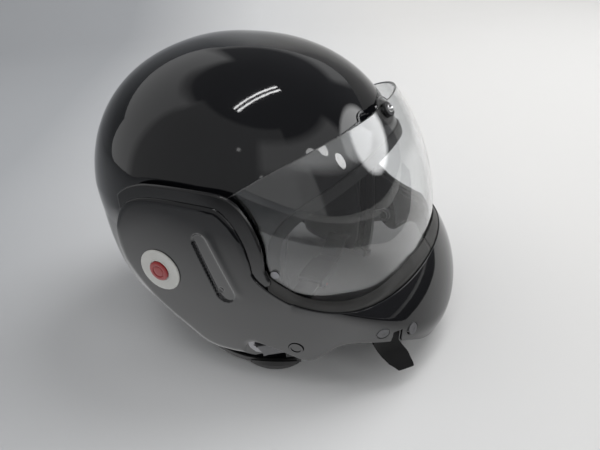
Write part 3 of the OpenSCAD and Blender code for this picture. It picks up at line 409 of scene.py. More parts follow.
def lathe(profile, segments=72):
    """Turned piece about Z from (radius, height) points."""
    a = np.linspace(0, 2 * math.pi, segments, endpoint=False)
    V, F = [], []
    rows = []
    for r, z in profile:
        if r < 1e-6:
            rows.append([len(V)] * segments)
            V.append((0, 0, z))
        else:
            rows.append(list(range(len(V), len(V) + segments)))
            V.extend((r * math.cos(t), r * math.sin(t), z) for t in a)
    for r0, r1 in zip(rows[:-1], rows[1:]):
        for j in range(segments):
            k = (j + 1) % segments
            f = [r0[j], r0[k], r1[k], r1[j]]
            f = [v for i, v in enumerate(f) if v != f[i - 1]]
            if len(f) >= 3:
                F.append(tuple(f))
    return np.array(V), F


def round_corner(points, radius, steps=4):
    """Profile with all corners between its ends rounded."""
    p = [np.array(q, float) for q in points]
    out = [p[0]]
    for a, b, c in zip(p[:-2], p[1:-1], p[2:]):
        r = min(radius, 0.45 * np.linalg.norm(a - b), 0.45 * np.linalg.norm(c - b))
        s, e = b + (a - b) / np.linalg.norm(a - b) * r, b + (c - b) / np.linalg.norm(c - b) * r
        for i in range(steps + 1):
            t = i / steps
            out.append((1 - t) ** 2 * s + 2 * t * (1 - t) * b + t * t * e)
    out.append(p[-1])
    return out


def frame_at(origin, z_axis, x_hint):
    z = np.array(z_axis, float)
    z /= np.linalg.norm(z)
    x = np.array(x_hint, float)
    x -= z * (x @ z)
    x /= np.linalg.norm(x)
    y = np.cross(z, x)
    return np.array(origin, float), np.stack([x, y, z], 1)


def place(V, at):
    origin, axes = at
    return origin + np.asarray(V) @ axes.T


# Materials
def new_material(name):
    m = bpy.data.materials.new(name)
    m.use_nodes = True
    tree = m.node_tree
    return m, tree, tree.nodes["Principled BSDF"]


def add(tree, kind, **values):
    n = tree.nodes.new(kind)
    for k, v in values.items():
        setattr(n, k, v)
    return n


def calc(tree, operation, *values, clamp=False):
    """Math node on sockets and numbers."""
    n = add(tree, "ShaderNodeMath", operation=operation, use_clamp=clamp)
    for socket, value in zip(n.inputs, values):
        if isinstance(value, (int, float)):
            socket.default_value = value
        else:
            tree.links.new(value, socket)
    return n.outputs[0]


def put(node, **values):
    """Sets inputs by name, with a line under each gap in the name."""
    for name, value in values.items():
        node.inputs[name.replace("_", " ")].default_value = value


def object_coords(tree, scale=(1, 1, 1)):
    c = add(tree, "ShaderNodeTexCoord")
    m = add(tree, "ShaderNodeMapping")
    put(m, Scale=scale)
    tree.links.new(c.outputs["Object"], m.inputs["Vector"])
    return m.outputs["Vector"]


def noise(tree, vector, scale, detail=3.0, rough=0.5):
    n = add(tree, "ShaderNodeTexNoise")
    put(n, Scale=scale, Detail=detail, Roughness=rough)
    tree.links.new(vector, n.inputs["Vector"])
    return n.outputs["Fac"]


def ramp(tree, fac, stops):
    r = add(tree, "ShaderNodeValToRGB")
    el = r.color_ramp.elements
    el[0].position, el[0].color = stops[0][0], (*stops[0][1], 1)
    el[1].position, el[1].color = stops[-1][0], (*stops[-1][1], 1)
    for pos, col in stops[1:-1]:
        e = el.new(pos)
        e.color = (*col, 1)
    tree.links.new(fac, r.inputs["Fac"])
    return r.outputs["Color"]


def to_range(tree, fac, lo, hi, from_lo=0.0, from_hi=1.0):
    m = add(tree, "ShaderNodeMapRange")
    put(m, From_Min=from_lo, From_Max=from_hi, To_Min=lo, To_Max=hi)
    tree.links.new(fac, m.inputs["Value"])
    return m.outputs["Result"]


def bump(tree, bsdf, height, strength, distance):
    b = add(tree, "ShaderNodeBump")
    put(b, Strength=strength, Distance=distance)
    tree.links.new(height, b.inputs["Height"])
    tree.links.new(b.outputs["Normal"], bsdf.inputs["Normal"])


def tint(tree, bsdf, fac, base, low, high):
    """Base colour between two shares of a colour, given as (position, share)."""
    stops = [(at, tuple(c * share for c in base)) for at, share in (low, high)]
    tree.links.new(ramp(tree, fac, stops), bsdf.inputs["Base Color"])


def paint(name, base, rough, spread):
    """Gloss paint with a faint orange peel, fine dust and wiping marks."""
    m, t, b = new_material(name)
    v = object_coords(t)
    dust = noise(t, v, 900, 2, 0.6)
    cloud = noise(t, v, 14, 3, 0.5)
    light = tuple(c * 1.5 + 0.001 for c in base)
    t.links.new(ramp(t, cloud, [(0.3, base), (0.75, light)]), b.inputs["Base Color"])
    wipe = calc(t, "MULTIPLY", dust, cloud)
    t.links.new(to_range(t, wipe, rough, rough + spread, 0.2, 0.5), b.inputs["Roughness"])
    put(b, IOR=1.52)
    bump(t, b, noise(t, v, 260, 2, 0.5), 0.02, 0.0006)
    return m


def rubber(name, base, rough=0.62, specular=0.5):
    m, t, b = new_material(name)
    v = object_coords(t)
    tint(t, b, noise(t, v, 40, 4, 0.6), base, (0.25, 0.75), (0.8, 1.3))
    fine = noise(t, v, 1500, 3, 0.6)
    t.links.new(to_range(t, fine, rough - 0.1, rough + 0.12), b.inputs["Roughness"])
    put(b, Specular_IOR_Level=specular)
    bump(t, b, fine, 0.25, 0.0002)
    return m


def metal(name, base, rough):
    m, t, b = new_material(name)
    brushed = noise(t, object_coords(t, (1, 1, 8)), 900, 3, 0.6)
    tint(t, b, brushed, base, (0.2, 0.8), (0.8, 1))
    t.links.new(to_range(t, brushed, rough - 0.08, rough + 0.15), b.inputs["Roughness"])
    put(b, Metallic=1.0)
    bump(t, b, brushed, 0.08, 0.0001)
    return m


def plastic(name, base, rough, spread=0.12, grain=700, depth=0.00008):
    m, t, b = new_material(name)
    v = object_coords(t)
    tint(t, b, noise(t, v, 60, 3, 0.5), base, (0.3, 0.93), (0.7, 1))
    fine = noise(t, v, grain, 3, 0.55)
    t.links.new(to_range(t, fine, rough, rough + spread), b.inputs["Roughness"])
    bump(t, b, fine, 0.15, depth)
    return m


def fabric(name, base, cell=900, depth=0.0004, rough=0.9):
    """Lining or webbing: small cells with a soft sheen."""
    m, t, b = new_material(name)
    v = object_coords(t)
    tint(t, b, noise(t, v, 45, 4, 0.6), base, (0.25, 0.7), (0.8, 1.35))
    cells = add(t, "ShaderNodeTexVoronoi")
    put(cells, Scale=cell)
    t.links.new(v, cells.inputs["Vector"])
    put(b, Roughness=rough, Sheen_Weight=0.08, Sheen_Roughness=0.4)
    bump(t, b, cells.outputs["Distance"], 0.6, depth)
    return m


def clear(name):
    m, t, b = new_material(name)
    put(b, Base_Color=(0.93, 0.94, 0.945, 1), Transmission_Weight=1.0, IOR=1.72)
    haze = noise(t, object_coords(t), 35, 4, 0.6)
    t.links.new(to_range(t, haze, 0.0, 0.035, 0.45, 0.8), b.inputs["Roughness"])
    return m


PAINT = paint("gloss_black", (0.0028, 0.003, 0.0038), 0.035, 0.05)
CHIN_PAINT = paint("gloss_black_chin", (0.0032, 0.0034, 0.0042), 0.045, 0.06)
RIM_PAINT = paint("rim_black", (0.006, 0.006, 0.0065), 0.16, 0.1)
RUBBER = rubber("trim_rubber_black", (0.012, 0.012, 0.012))
SEAL = rubber("seal_rubber", (0.018, 0.0175, 0.0165), 0.5)
TAB = rubber("tab_rubber", (0.003, 0.003, 0.0032), 0.6, specular=0.2)
STEEL = metal("steel_plain", (0.6, 0.6, 0.61), 0.28)
DARK_METAL = metal("steel_dark", (0.2, 0.2, 0.21), 0.34)
WHITE = plastic("white_disc", (0.62, 0.62, 0.59), 0.3)
RED = plastic("red_cap", (0.30, 0.018, 0.02), 0.28)
BLACK = plastic("black_plastic_fine", (0.008, 0.008, 0.009), 0.3)
GREY = plastic("grey_plastic_fine", (0.08, 0.08, 0.085), 0.45)
LINER = fabric("liner_knit", (0.010, 0.0105, 0.012))
PAD = fabric("pad_knit", (0.007, 0.007, 0.008), 1100)
FOAM = plastic("foam_bead", (0.02, 0.02, 0.021), 0.85, 0.1, 350, 0.0006)
WEB = fabric("webbing_weave", (0.006, 0.006, 0.0065), 1600, 0.0003, 0.7)
CLEAR = clear("visor_clear_sheet")
CHROME = metal("chrome", (0.75, 0.75, 0.76), 0.12)

# Camera
AZ, EL, ROLL = math.radians(-61.73397), math.radians(31.45496), math.radians(-3.95499)
FOCAL_PX, FRAME_W = 573.099, 600.0
SHIFT = np.array([40.90405, -45.29891, 557.95478])
AIM = np.array([0.0, 18.0, 130.0])


def add_camera():
    back = np.array([math.sin(AZ) * math.cos(EL), -math.cos(AZ) * math.cos(EL), math.sin(EL)])
    right = np.array([math.cos(AZ), math.sin(AZ), 0.0])
    up = np.cross(back, right)
    right, up = (math.cos(ROLL) * right + math.sin(ROLL) * up,
                 -math.sin(ROLL) * right + math.cos(ROLL) * up)
    axes = np.stack([right, up, back], 1)
    at = AIM + axes @ SHIFT
    data = bpy.data.cameras.new("camera")
    data.sensor_width = 36.0
    data.sensor_fit = "HORIZONTAL"
    data.lens = FOCAL_PX / FRAME_W * data.sensor_width
    data.clip_start, data.clip_end = 0.02, 60
    o = bpy.data.objects.new("camera", data)
    o.matrix_world = Matrix(np.column_stack([axes, at * MM]).tolist() + [[0, 0, 0, 1]])
    bpy.context.scene.collection.objects.link(o)
    bpy.context.scene.camera = o


add_camera()


# Chin bar
SCOOP_FROM, SCOOP_TO = np.array([45.0, 37.0]), np.array([62.0, -8.0])
SCOOP_RADIUS, SCOOP_WIDENS, SCOOP_WALL = 8.0, 1.6, 1.8
SCOOP_DEPTH, SCOOP_DEEPENS, SCOOP_LEAN = 2.5, 0.2, 0.42
SCOOP_HOLE = SCOOP_TO - np.array([4.4, -1.0])
HOLE_DEPTH, HOLE_R, HOLE_WALL = 0.5, 1.0, 2.4
RIDGE_HEIGHT, RIDGE_AWAY, RIDGE_WIDTH, RIDGE_END = 0.55, 2.5, 3.2, 9.0
BORDER_DEPTH, BORDER_WIDTH, BORDER_FROM, BORDER_FADE = 1.1, 5.0, 74.0, 16.0
ARM_SIDE = 60.0


def scoop_dent(p):
    """Long recess with a steep wall behind and a soft one ahead, and an arm border that rolls in."""
    s = side_view(p)
    way = (SCOOP_TO - SCOOP_FROM) / np.linalg.norm(SCOOP_TO - SCOOP_FROM)
    length = np.linalg.norm(SCOOP_TO - SCOOP_FROM)
    along = (s - SCOOP_FROM) @ way
    ahead = (s - SCOOP_FROM) @ np.array([-way[1], way[0]])
    t = np.clip(along / length, 0, 1)
    d = np.linalg.norm(s - SCOOP_FROM - np.clip(along, 0, length)[:, None] * way, axis=1)
    radius = SCOOP_RADIUS + SCOOP_WIDENS * t
    q = np.clip(ahead / radius, -1, 1)
    wall = 1 - smoothstep((d - radius + SCOOP_WALL) / SCOOP_WALL)
    body = (SCOOP_DEPTH + SCOOP_DEEPENS * t) * wall * (0.5 - SCOOP_LEAN * q)
    hole = HOLE_DEPTH * (1 - smoothstep((np.linalg.norm(s - SCOOP_HOLE, axis=1) - HOLE_R) / HOLE_WALL))
    reach = np.abs(along - length / 2) - length / 2
    ridge = RIDGE_HEIGHT * np.exp(-((ahead - radius - RIDGE_AWAY) / RIDGE_WIDTH) ** 2)
    ridge *= 1 - smoothstep(reach / RIDGE_END)
    inside = -polygon_distance(s, CHIN_OUTLINE)
    border = BORDER_DEPTH * (1 - np.clip(inside / BORDER_WIDTH, 0, 1)) ** 2
    border *= 1 - smoothstep((s[:, 0] - BORDER_FROM) / BORDER_FADE)
    return (body + hole + border - ridge) * (np.abs(p[:, 0]) > ARM_SIDE)


CHIN = Surface(chin_form, CHIN_CENTRE, scoop_dent)


def arm_face(reach):
    return ARM_X * math.sqrt(1 - (reach / CHIN_R) ** 3)


def skin_point(x, up):
    """Point of the chin's skin at a width and a height above the pivot axis."""
    main = CHIN_R * (1 - (x / ARM_X) ** 2) ** (1 / 3)
    nose = NOSE_R * (1 - (x / NOSE_X) ** 2) ** (1 / 3)
    forward = min(math.sqrt(main ** 2 - up ** 2),
                  NOSE_AXIS[0] + math.sqrt(nose ** 2 - (up - NOSE_AXIS[1]) ** 2))
    return np.array([x, PIVOT_Y - forward, PIVOT_Z + up])


def skin_frame(x, up):
    """Frame on the chin's skin: z outward, x down the surface."""
    n = np.cross(skin_point(x + 0.5, up) - skin_point(x - 0.5, up),
                 skin_point(x, up + 0.5) - skin_point(x, up - 0.5))
    n /= np.linalg.norm(n)
    return frame_at(skin_point(x, up), n, (n[0] * n[2], n[1] * n[2], n[2] ** 2 - 1))


PIN_TILT = math.radians(14.6)


def pin_frame(side):
    """Frame of a latch pin: z outward, x away from the pivot axis."""
    away = np.array([0, -math.cos(PIN_ANGLE), math.sin(PIN_ANGLE)])
    out = np.array([1.0, 0, 0])
    z = out * math.cos(PIN_TILT) + away * math.sin(PIN_TILT)
    x = away * math.cos(PIN_TILT) - out * math.sin(PIN_TILT)
    at = np.array([arm_face(PIN_REACH), PIVOT_Y, PIVOT_Z]) + PIN_REACH * away
    flip = np.array([side, 1, 1])
    return frame_at(at * flip, z * flip, x * flip)


RIVETS = [(-87.4, -46.0), (-65.0, -52.4)]
RIVET_HOLE_R, PIN_HOLE_R, HOLE_REACH = 5.6, 6.2, 12.0
GUIDE = (-76.2, -49.2)
NOTCH = np.array([[-1, -6], [-1.6, -3], [-1, 2.5], [40, 3], [40, -7]], float)


def in_frame(p, at):
    return (p - at[0]) @ at[1]


def round_hole(p, at, radius):
    """Positive in a round hole about a frame's axis, near its origin."""
    q = in_frame(p, at)
    return np.where(np.abs(q[:, 2]) < HOLE_REACH, radius - np.hypot(q[:, 0], q[:, 1]), -FAR)


def chin_trim(p):
    t = polygon_distance(side_view(p), CHIN_OUTLINE)
    for x, up in RIVETS:
        t = np.maximum(t, round_hole(p, skin_frame(x, up), RIVET_HOLE_R))
    q = in_frame(p, skin_frame(*GUIDE))
    t = np.maximum(t, np.where(np.abs(q[:, 2]) < HOLE_REACH, -polygon_distance(q[:, :2], NOTCH), -FAR))
    for side in (-1, 1):
        t = np.maximum(t, round_hole(p, pin_frame(side), PIN_HOLE_R))
    return t


az = lines(-122, (-86, 1.0), (-66, 0.42), (-45, 0.75), (-22, 0.5), (20, 0.9), (66, 0.9), (86, 0.6),
           (122, 1.2))
el = lines(-32, (0, 0.65), (29, 0.42), (36, 0.7))
V, N, F = moulded(CHIN, az, el, chin_trim, CHIN_WALL, CHIN_EDGE)
make("chin_shell", V, F, N, "chin_unit", ["chin_bar"], CHIN_PAINT)

# Outer shell
EDGE_KEYS = [[EDGE_Y + 1, RIM_Z + 9], [EDGE_Y - 0.5, 30], [EDGE_Y, 60], [EDGE_Y + 1, 90],
             [EDGE_Y + 2, 118], [EDGE_Y + 1.5, 136], [EDGE_Y - 3.5, 148]]
SHELL = Surface(shell_form, SHELL_CENTRE)


def brow_line(y):
    return BROW_Z - BROW_SLOPE * (y - BROW_Y)


def brow_y(direction, z):
    """Place along Y of the shell's middle surface at a height, in a direction seen from above."""
    a = math.radians(direction)
    lo, hi = 0.0, 200.0
    for _ in range(40):
        mid = (lo + hi) / 2
        p = np.array([[mid * math.cos(a), SHELL_Y + mid * math.sin(a), z]])
        if shell_form(p, SHELL_WALL / 2)[0] < 0:
            lo = mid
        else:
            hi = mid
    return SHELL_Y + lo * math.sin(a)


def opening_polygon():
    """Region ahead of the face opening's edge in the side view, as y and z."""
    keys = list(EDGE_KEYS)
    for direction in (-49, -55, -61, -67, -73, -79, -85):
        z = 175.0
        for _ in range(20):
            y = brow_y(direction, z)
            z = brow_line(y)
        keys.append([y, z])
    edge = curve(keys)
    tip_y = BROW_Y - 300
    return np.vstack([[[edge[0][0] + 3, -40]], edge, [[BROW_Y, BROW_Z]],
                      [[tip_y, brow_line(tip_y)], [tip_y, -40]]])


OPENING = opening_polygon()


def shell_trim(p):
    return np.maximum(-polygon_distance(p[:, 1:], OPENING), RIM_Z - p[:, 2])


az = lines(-180, (180, 1.25))
el = lines(-47, (85, 1.2), (89.8, 1.2))
V, N, F = moulded(SHELL, az, el, shell_trim, SHELL_WALL, SHELL_EDGE)
make("shell_skin", tucked(V), F, tucked_normals(V, N), "shell", ["outer_shell"], PAINT)

# Visor
TAB_SIDE = curve([[42, -16], [34, -8.5], [24, -6], [16.5, -2.5], [12.8, 2.5], [10.5, 7.5], [6.5, 11.2],
                  [0, 12.3]])
TAB_OUTLINE = np.vstack([TAB_SIDE, (TAB_SIDE * [-1, 1])[-2::-1]])
KNOB_FRAME = frame_at((0, PIVOT_Y, PIVOT_Z), (0, -math.cos(KNOB_ANGLE), math.sin(KNOB_ANGLE)), (1, 0, 0))
KNOB_HOLE_R, PIVOT_HOLE_R = KNOB_R - 2.15, 12.05


def visor_trim(p):
    s, q = side_view(p), in_frame(p, KNOB_FRAME)
    in_front = q[:, 2] > 80
    t = polygon_distance(s, VISOR_OUTLINE)
    t = np.minimum(t, np.where(in_front, polygon_distance(q[:, :2], TAB_OUTLINE), FAR))
    t = np.maximum(t, np.where(in_front, KNOB_HOLE_R - np.hypot(q[:, 0], q[:, 1]), -FAR))
    return np.maximum(t, PIVOT_HOLE_R - np.hypot(s[:, 0], s[:, 1]))


VISOR = Surface(visor_form, VISOR_CENTRE)
az = lines(-112, (-20, 0.9), (20, 0.6), (112, 0.9))
el = lines(-20, (24, 0.9), (52, 0.7))
V, N, F = moulded(VISOR, az, el, visor_trim, VISOR_T, VISOR_EDGE)
make("visor_sheet", V, F, N, "visor_unit", ["visor"], CLEAR)

# Rims round the arms
RIM_WALL, RIM_EDGE, RIM_SINK, RIM_DRAW = 4.0, 2.0, 1.7, 4.0
RIM_FOOT = [[99.6, 12.5], [102.6, 6.5], [96, 1], [88.6, 6.5]]
RIM_OUTER = np.vstack([RIM_TOP, RIM_FOOT, shifted(ARM_TOP, -4.0)[::-1]])


def rim_form(p):
    return bowl(p, ARM_X - RIM_SINK, CHIN_R - RIM_DRAW, 2, 3)


def rim_trim(p):
    return polygon_distance(side_view(p), RIM_OUTER)


RIM = Surface(rim_form, VISOR_CENTRE)
el = lines(-4, (40, 0.5))
for name, az in (("right", lines(-112, (-30, 0.5))), ("left", lines(30, (112, 0.5)))):
    V, N, F = moulded(RIM, az, el, rim_trim, RIM_WALL, RIM_EDGE, 7)
    make("rim_" + name, V, F, N, "chin_unit", ["arm_rim_" + name], RIM_PAINT)


# Seal between the lip and the visor
SEAL_CROWN, SEAL_EDGE, SEAL_BODY = 1.1, 1.2, 2.0
LIP_SINK, FOOT_SINK, SPLIT = 0.4, 5.0, 0.02
SEAL_TIP = np.vstack([SEAL_TOP, [[190, -6], [194, -13.5]], [[194, -60], [96, -60]]])


def crossing(surface, az, polygon, top, bottom):
    """Highest point at each azimuth where the surface runs into a side-view region."""
    out = []
    el = np.radians(np.arange(top, bottom, -0.1))
    for a in az:
        p = surface.skin(np.full(len(el), a), el)
        inside = polygon_distance(side_view(p), polygon) < 0
        out.append(p[np.argmax(inside)] if inside.any() else None)
    return out


def strip(rows):
    """Points and faces of a solid strip from rows of points round its section."""
    n, m = len(rows), len(rows[0])
    F = []
    for i in range(n - 1):
        for j in range(m):
            k = (j + 1) % m
            F.append((i * m + j, (i + 1) * m + j, (i + 1) * m + k, i * m + k))
    F += [tuple(range(m)), tuple((n - 1) * m + j for j in reversed(range(m)))]
    return np.array(rows).reshape(-1, 3), F


def seal_row(lip, tip, foot):
    """Section of the seal from the lip's skin up to the visor, with a foot behind the lip."""
    across = tip - lip
    width = np.linalg.norm(across)
    out = np.array([0, 0, 1.0]) - across * across[2] / width ** 2
    out = out / np.linalg.norm(out)
    if out @ (lip - CHIN_CENTRE) < 0 and abs(out[2]) < 0.3:
        out = -out
    along = [lip + across * t + out * (SEAL_CROWN * math.sin(math.pi * t ** 0.7) - 0.1)
             for t in np.linspace(0.05, 0.93, 9)]
    row = [foot, lip - 0.4 * out] + along + [tip + 0.25 * out, tip + across / width * 0.5 - 0.3 * out]
    row += [tip - SEAL_EDGE * out] + [q - SEAL_BODY * out for q in along[::-2]] + [foot - SEAL_EDGE * out]
    return row


def add_seal():
    lip_skin = Surface(lambda p: chin_form(p, 1.0), CHIN_CENTRE)
    under = Surface(lambda p: chin_form(p, CHIN_WALL - 0.2), CHIN_CENTRE)
    on_visor = Surface(lambda p: bowl(p, VISOR_X + 1.0, VISOR_R + 1.2, VISOR_POWER, 3), CHIN_CENTRE)
    az = np.concatenate([np.arange(-70, -1.0, 0.9), [-SPLIT], [SPLIT], np.arange(0.9, 70.1, 0.9)])
    az = np.radians(az)
    low = crossing(lip_skin, az, CHIN_OUTLINE, 30, -10)
    deep = crossing(under, az, CHIN_OUTLINE, 26, -12)
    top = crossing(on_visor, az, SEAL_TIP, 34, -6)
    for side, half in (("right", az < 0), ("left", az > 0)):
        rows = []
        for i in np.flatnonzero(half):
            if low[i] is not None and top[i] is not None and deep[i] is not None:
                rows.append(seal_row(low[i] - [0, 0, LIP_SINK], top[i], deep[i] - [0, 0, FOOT_SINK]))
        V, F = strip(rows)
        make("seal_" + side, V, F, None, "chin_unit", ["visor_seal"], SEAL)


add_seal()


# Turned pieces
def turned(name, profile, base, at, body, replaces, material, corner):
    """Turned piece from radii and heights above a base."""
    V, F = lathe(round_corner([(r, base + z) for r, z in profile], corner))
    make(name, place(V, at), F, None, body, replaces, material)


DISC = [(12.3, 0.1), (DISC_R, 0.1), (DISC_R, 1.7), (DISC_R - 1.2, 2.0), (CAP_R + 1.6, 1.7),
        (CAP_R + 1.5, 2.3), (CAP_R + 0.4, 2.3), (CAP_R + 0.3, 1.0)]
CAP = [(0, 1.2), (CAP_R, 1.2), (CAP_R, 3.6), (CAP_R - 1.6, 3.9), (5.6, 3.9), (5.3, 3.3), (4.9, 3.3),
       (4.6, 3.7), (0, 3.8)]
for side, name in ((-1, "right"), (1, "left")):
    hub = frame_at((0, PIVOT_Y, PIVOT_Z), (side, 0, 0), (0, -1, 0))
    turned("disc_" + name, DISC, FACE_X, hub, "chin_unit", ["pivot_disc_" + name],
           WHITE, 0.5)
    turned("cap_" + name, CAP, FACE_X, hub, "chin_unit", ["pivot_cap_" + name], RED, 0.35)

RING = [(4.1, -8.5), (4.1, 0.3), (KNOB_R, 0.3), (KNOB_R, 2.6), (KNOB_R - 2.5, 2.6), (KNOB_R - 2.55, -3.2),
        (0, -3.2)]
DOME_R = KNOB_R - 2.65
DOME = [(0, -1.0), (DOME_R, -1.0)]
DOME += [(DOME_R * math.cos(a), 2.0 + 3.5 * math.sin(a)) for a in np.radians(np.arange(0, 90, 9))]
DOME.append((0, 5.5))
turned("knob_ring", RING, VISOR_R, KNOB_FRAME, "visor_unit", ["knob_collar"], BLACK, 0.7)
turned("knob_dome", DOME, VISOR_R, KNOB_FRAME, "knob_press", ["knob_button"], CHROME, 0.2)


# Padding
def node_mesh(node):
    """Copy of a CAD node's mesh, as a loose object."""
    source = frame["nodes"][node]
    mesh = source.data.copy()
    mesh.materials.clear()
    mesh.transform(source.matrix_world)
    o = bpy.data.objects.new(node + "_work", mesh)
    bpy.context.scene.collection.objects.link(o)
    return o


def apply_modifiers(o):
    graph = bpy.context.evaluated_depsgraph_get()
    mesh = bpy.data.meshes.new_from_object(o.evaluated_get(graph))
    o.modifiers.clear()
    old = o.data
    o.data = mesh
    bpy.data.meshes.remove(old)


def read(items, name):
    values = np.empty(len(items) * 3)
    items.foreach_get(name, values)
    return values.reshape(-1, 3)


def coords(mesh):
    return read(mesh.vertices, "co")


def normals_of(mesh):
    return read(mesh.vertex_normals, "vector")


def set_coords(mesh, v):
    mesh.vertices.foreach_set("co", np.ascontiguousarray(v).ravel())
    mesh.update()


def kept_inside(v, tree, gap):
    """Points that left the CAD solid go back to its skin."""
    out = v.copy()
    for i, p in enumerate(v):
        at, n, _, _ = tree.find_nearest(Vector(p))
        if at is not None and (Vector(p) - at).dot(n) > -gap:
            out[i] = np.array(at - n * gap)
    return out


FRAMES, PAD_GAP, PAD_FILL = 20, 0.25, 0.7


def inflated(o, pressure):
    """Points of a closed mesh after a short cloth run under pressure, without gravity."""
    scene = bpy.context.scene
    cloth = o.modifiers.new("cloth", "CLOTH")
    settings = cloth.settings
    settings.use_pressure = True
    settings.uniform_pressure_force = pressure
    settings.effector_weights.gravity = 0
    settings.quality = 4
    cloth.point_cache.frame_start, cloth.point_cache.frame_end = 1, FRAMES
    for f in range(1, FRAMES + 1):
        scene.frame_set(f)
        blown = o.evaluated_get(bpy.context.evaluated_depsgraph_get())
        moved = coords(blown.to_mesh())
        blown.to_mesh_clear()
    scene.frame_set(1)
    o.modifiers.clear()
    return moved


def cushion(name, node, body, material, voxel, shrink, cap, pressure, seams=None, subdivide=True):
    """Padded piece: the CAD solid made smaller, blown up as cloth, kept in the solid, then seamed."""
    o = node_mesh(node)
    tree = BVHTree.FromPolygons([tuple(v.co) for v in o.data.vertices],
                                [tuple(p.vertices) for p in o.data.polygons])
    m = o.modifiers.new("remesh", "REMESH")
    m.mode, m.voxel_size = "VOXEL", voxel * MM
    apply_modifiers(o)
    start = coords(o.data) - normals_of(o.data) * shrink * MM
    set_coords(o.data, start)
    m = o.modifiers.new("smooth", "SMOOTH")
    m.factor, m.iterations = 0.5, 6
    apply_modifiers(o)
    start = coords(o.data)
    step = inflated(o, pressure) - start
    far = np.linalg.norm(step, axis=1)[:, None]
    moved = start + step * np.minimum(1, cap * MM / np.maximum(far, 1e-9))
    set_coords(o.data, kept_inside(moved, tree, PAD_GAP * MM))
    if subdivide:
        m = o.modifiers.new("soft", "SUBSURF")
        m.levels = m.render_levels = 1
        apply_modifiers(o)
    if seams:
        v, n = coords(o.data), normals_of(o.data)
        set_coords(o.data, v - n * (seams(v / MM) * MM)[:, None])
    if body == "shell":
        set_coords(o.data, tucked(coords(o.data) / MM) * MM)
    o.data.shade_smooth()
    dress(o, name, material, body, [node])


def groove(distance, depth, width):
    return depth * np.exp(-(distance / width) ** 2)


def cheek_seams(v):
    x, y, z = np.abs(v[:, 0]), v[:, 1], v[:, 2]
    around = np.abs(x - 90 - 4 * np.sin(z / 30))
    return groove(around, 1.6, 1.8) + groove(z - 62 + 0.1 * (y + 14), 1.4, 1.8) * (x < 90)


def roll_seams(v):
    a = np.degrees(np.arctan2(v[:, 1] - SHELL_Y, v[:, 0]))
    return sum(groove((a - k) * 1.9, 1.5, 1.8) for k in (30, 60, 90, 120, 150))


def crown_seams(v):
    a = np.degrees(np.arctan2(v[:, 0], v[:, 1] - SHELL_Y))
    r = np.hypot(v[:, 0], v[:, 1] - SHELL_Y)
    out = groove(r - 46, 1.2, 2.0)
    for k in range(-150, 181, 60):
        d = (a - k + 180) % 360 - 180
        out = out + groove(np.radians(d) * r, 1.2, 2.0) * (r > 46)
    return out


for side in ("right", "left"):
    cushion("cheek_cushion_" + side, "cheek_pad_" + side, "shell", PAD,
            voxel=4.5, shrink=3.0, cap=5.0, pressure=4.0, seams=cheek_seams)
cushion("neck_cushion", "neck_roll", "shell", PAD,
        voxel=4.5, shrink=2.5, cap=5.0, pressure=4.0, seams=roll_seams)
cushion("chin_cushion", "chin_pad", "chin_unit", PAD,
        voxel=3.5, shrink=1.2, cap=2.5, pressure=3.0)
cushion("crown_cushion", "crown_pad", "shell", LINER,
        voxel=4.0, shrink=1.0, cap=2.0, pressure=2.0, seams=crown_seams, subdivide=False)


# Straps
SELVEDGE = 0.5


def add_strap(side):
    """Flat webbing: the solid of the strap with rolled selvedges."""
    node = "chin_strap_" + side
    o = node_mesh(node)
    weld = o.modifiers.new("weld", "WELD")
    weld.merge_threshold = 0.00002
    b = o.modifiers.new("bevel", "BEVEL")
    b.width, b.segments, b.limit_method, b.angle_limit = SELVEDGE * MM, 3, "ANGLE", math.radians(50)
    b.harden_normals = True
    apply_modifiers(o)
    dress(o, "webbing_" + side, WEB, "shell", [node])


add_strap("right")
add_strap("left")


# CAD meshes brought to the form
def reshaped(name, node, material, change, voxel=None):
    """CAD mesh with its points moved, first cut finer where a voxel size is given."""
    o = node_mesh(node)
    if voxel:
        fine = o.modifiers.new("fine", "REMESH")
        fine.mode, fine.voxel_size = "VOXEL", voxel * MM
        apply_modifiers(o)
    set_coords(o.data, change(coords(o.data) / MM) * MM)
    o.data.shade_smooth()
    if not voxel:
        o.data.set_sharp_from_angle(angle=math.radians(40))
    dress(o, name, material, "shell", [node])


FORK_SHARE = 0.75


def smaller_fork(p):
    """The fork under the knob, narrowed about the knob's axis."""
    q = in_frame(p, KNOB_FRAME) * [FORK_SHARE, FORK_SHARE, 1]
    return KNOB_FRAME[0] + q @ KNOB_FRAME[1].T


reshaped("foam_shell", "foam_liner", FOAM, tucked, voxel=2.5)
reshaped("neck_edging", "neck_trim", RUBBER, tucked)
reshaped("forehead_fork", "forehead_clip", PAINT, smaller_fork)

# Carried CAD nodes
FINISH = {
    "steel": STEEL, "dark_metal": DARK_METAL, "white_plastic": WHITE, "red_plastic": RED,
    "black_plastic": BLACK, "grey_plastic": GREY, "chrome_knob": CHROME, "trim_rubber": RUBBER,
    "foam": FOAM, "liner_fabric": LINER, "pad_fabric": PAD, "webbing": WEB, "gloss_shell": PAINT,
    "gloss_chin": CHIN_PAINT, "rim_satin": RIM_PAINT, "visor_clear": CLEAR,
}
OWN = {
    "pull_tab": TAB, "striker_post_right": DARK_METAL, "striker_post_left": DARK_METAL,
    "latch_pins": PAINT, "tab_rivets": GREY, "latch_lever_right": GREY, "latch_lever_left": GREY,
}
for part in frame["record"]["subparts"]:
    o = frame["nodes"][part["node"]]
    material = OWN.get(part["node"], FINISH[part["material_slot"]])
    if not o.material_slots:
        o.data.materials.append(material)
    for k in o.material_slots:
        k.material = material


# Floor, world and lights
STAGE_REACH, COVE_AT, COVE_R, WALL_TOP = 4.0, 1.2, 0.7, 1.5
STAGE_TURN = math.radians(33)
TABLE_DROP = 0.2


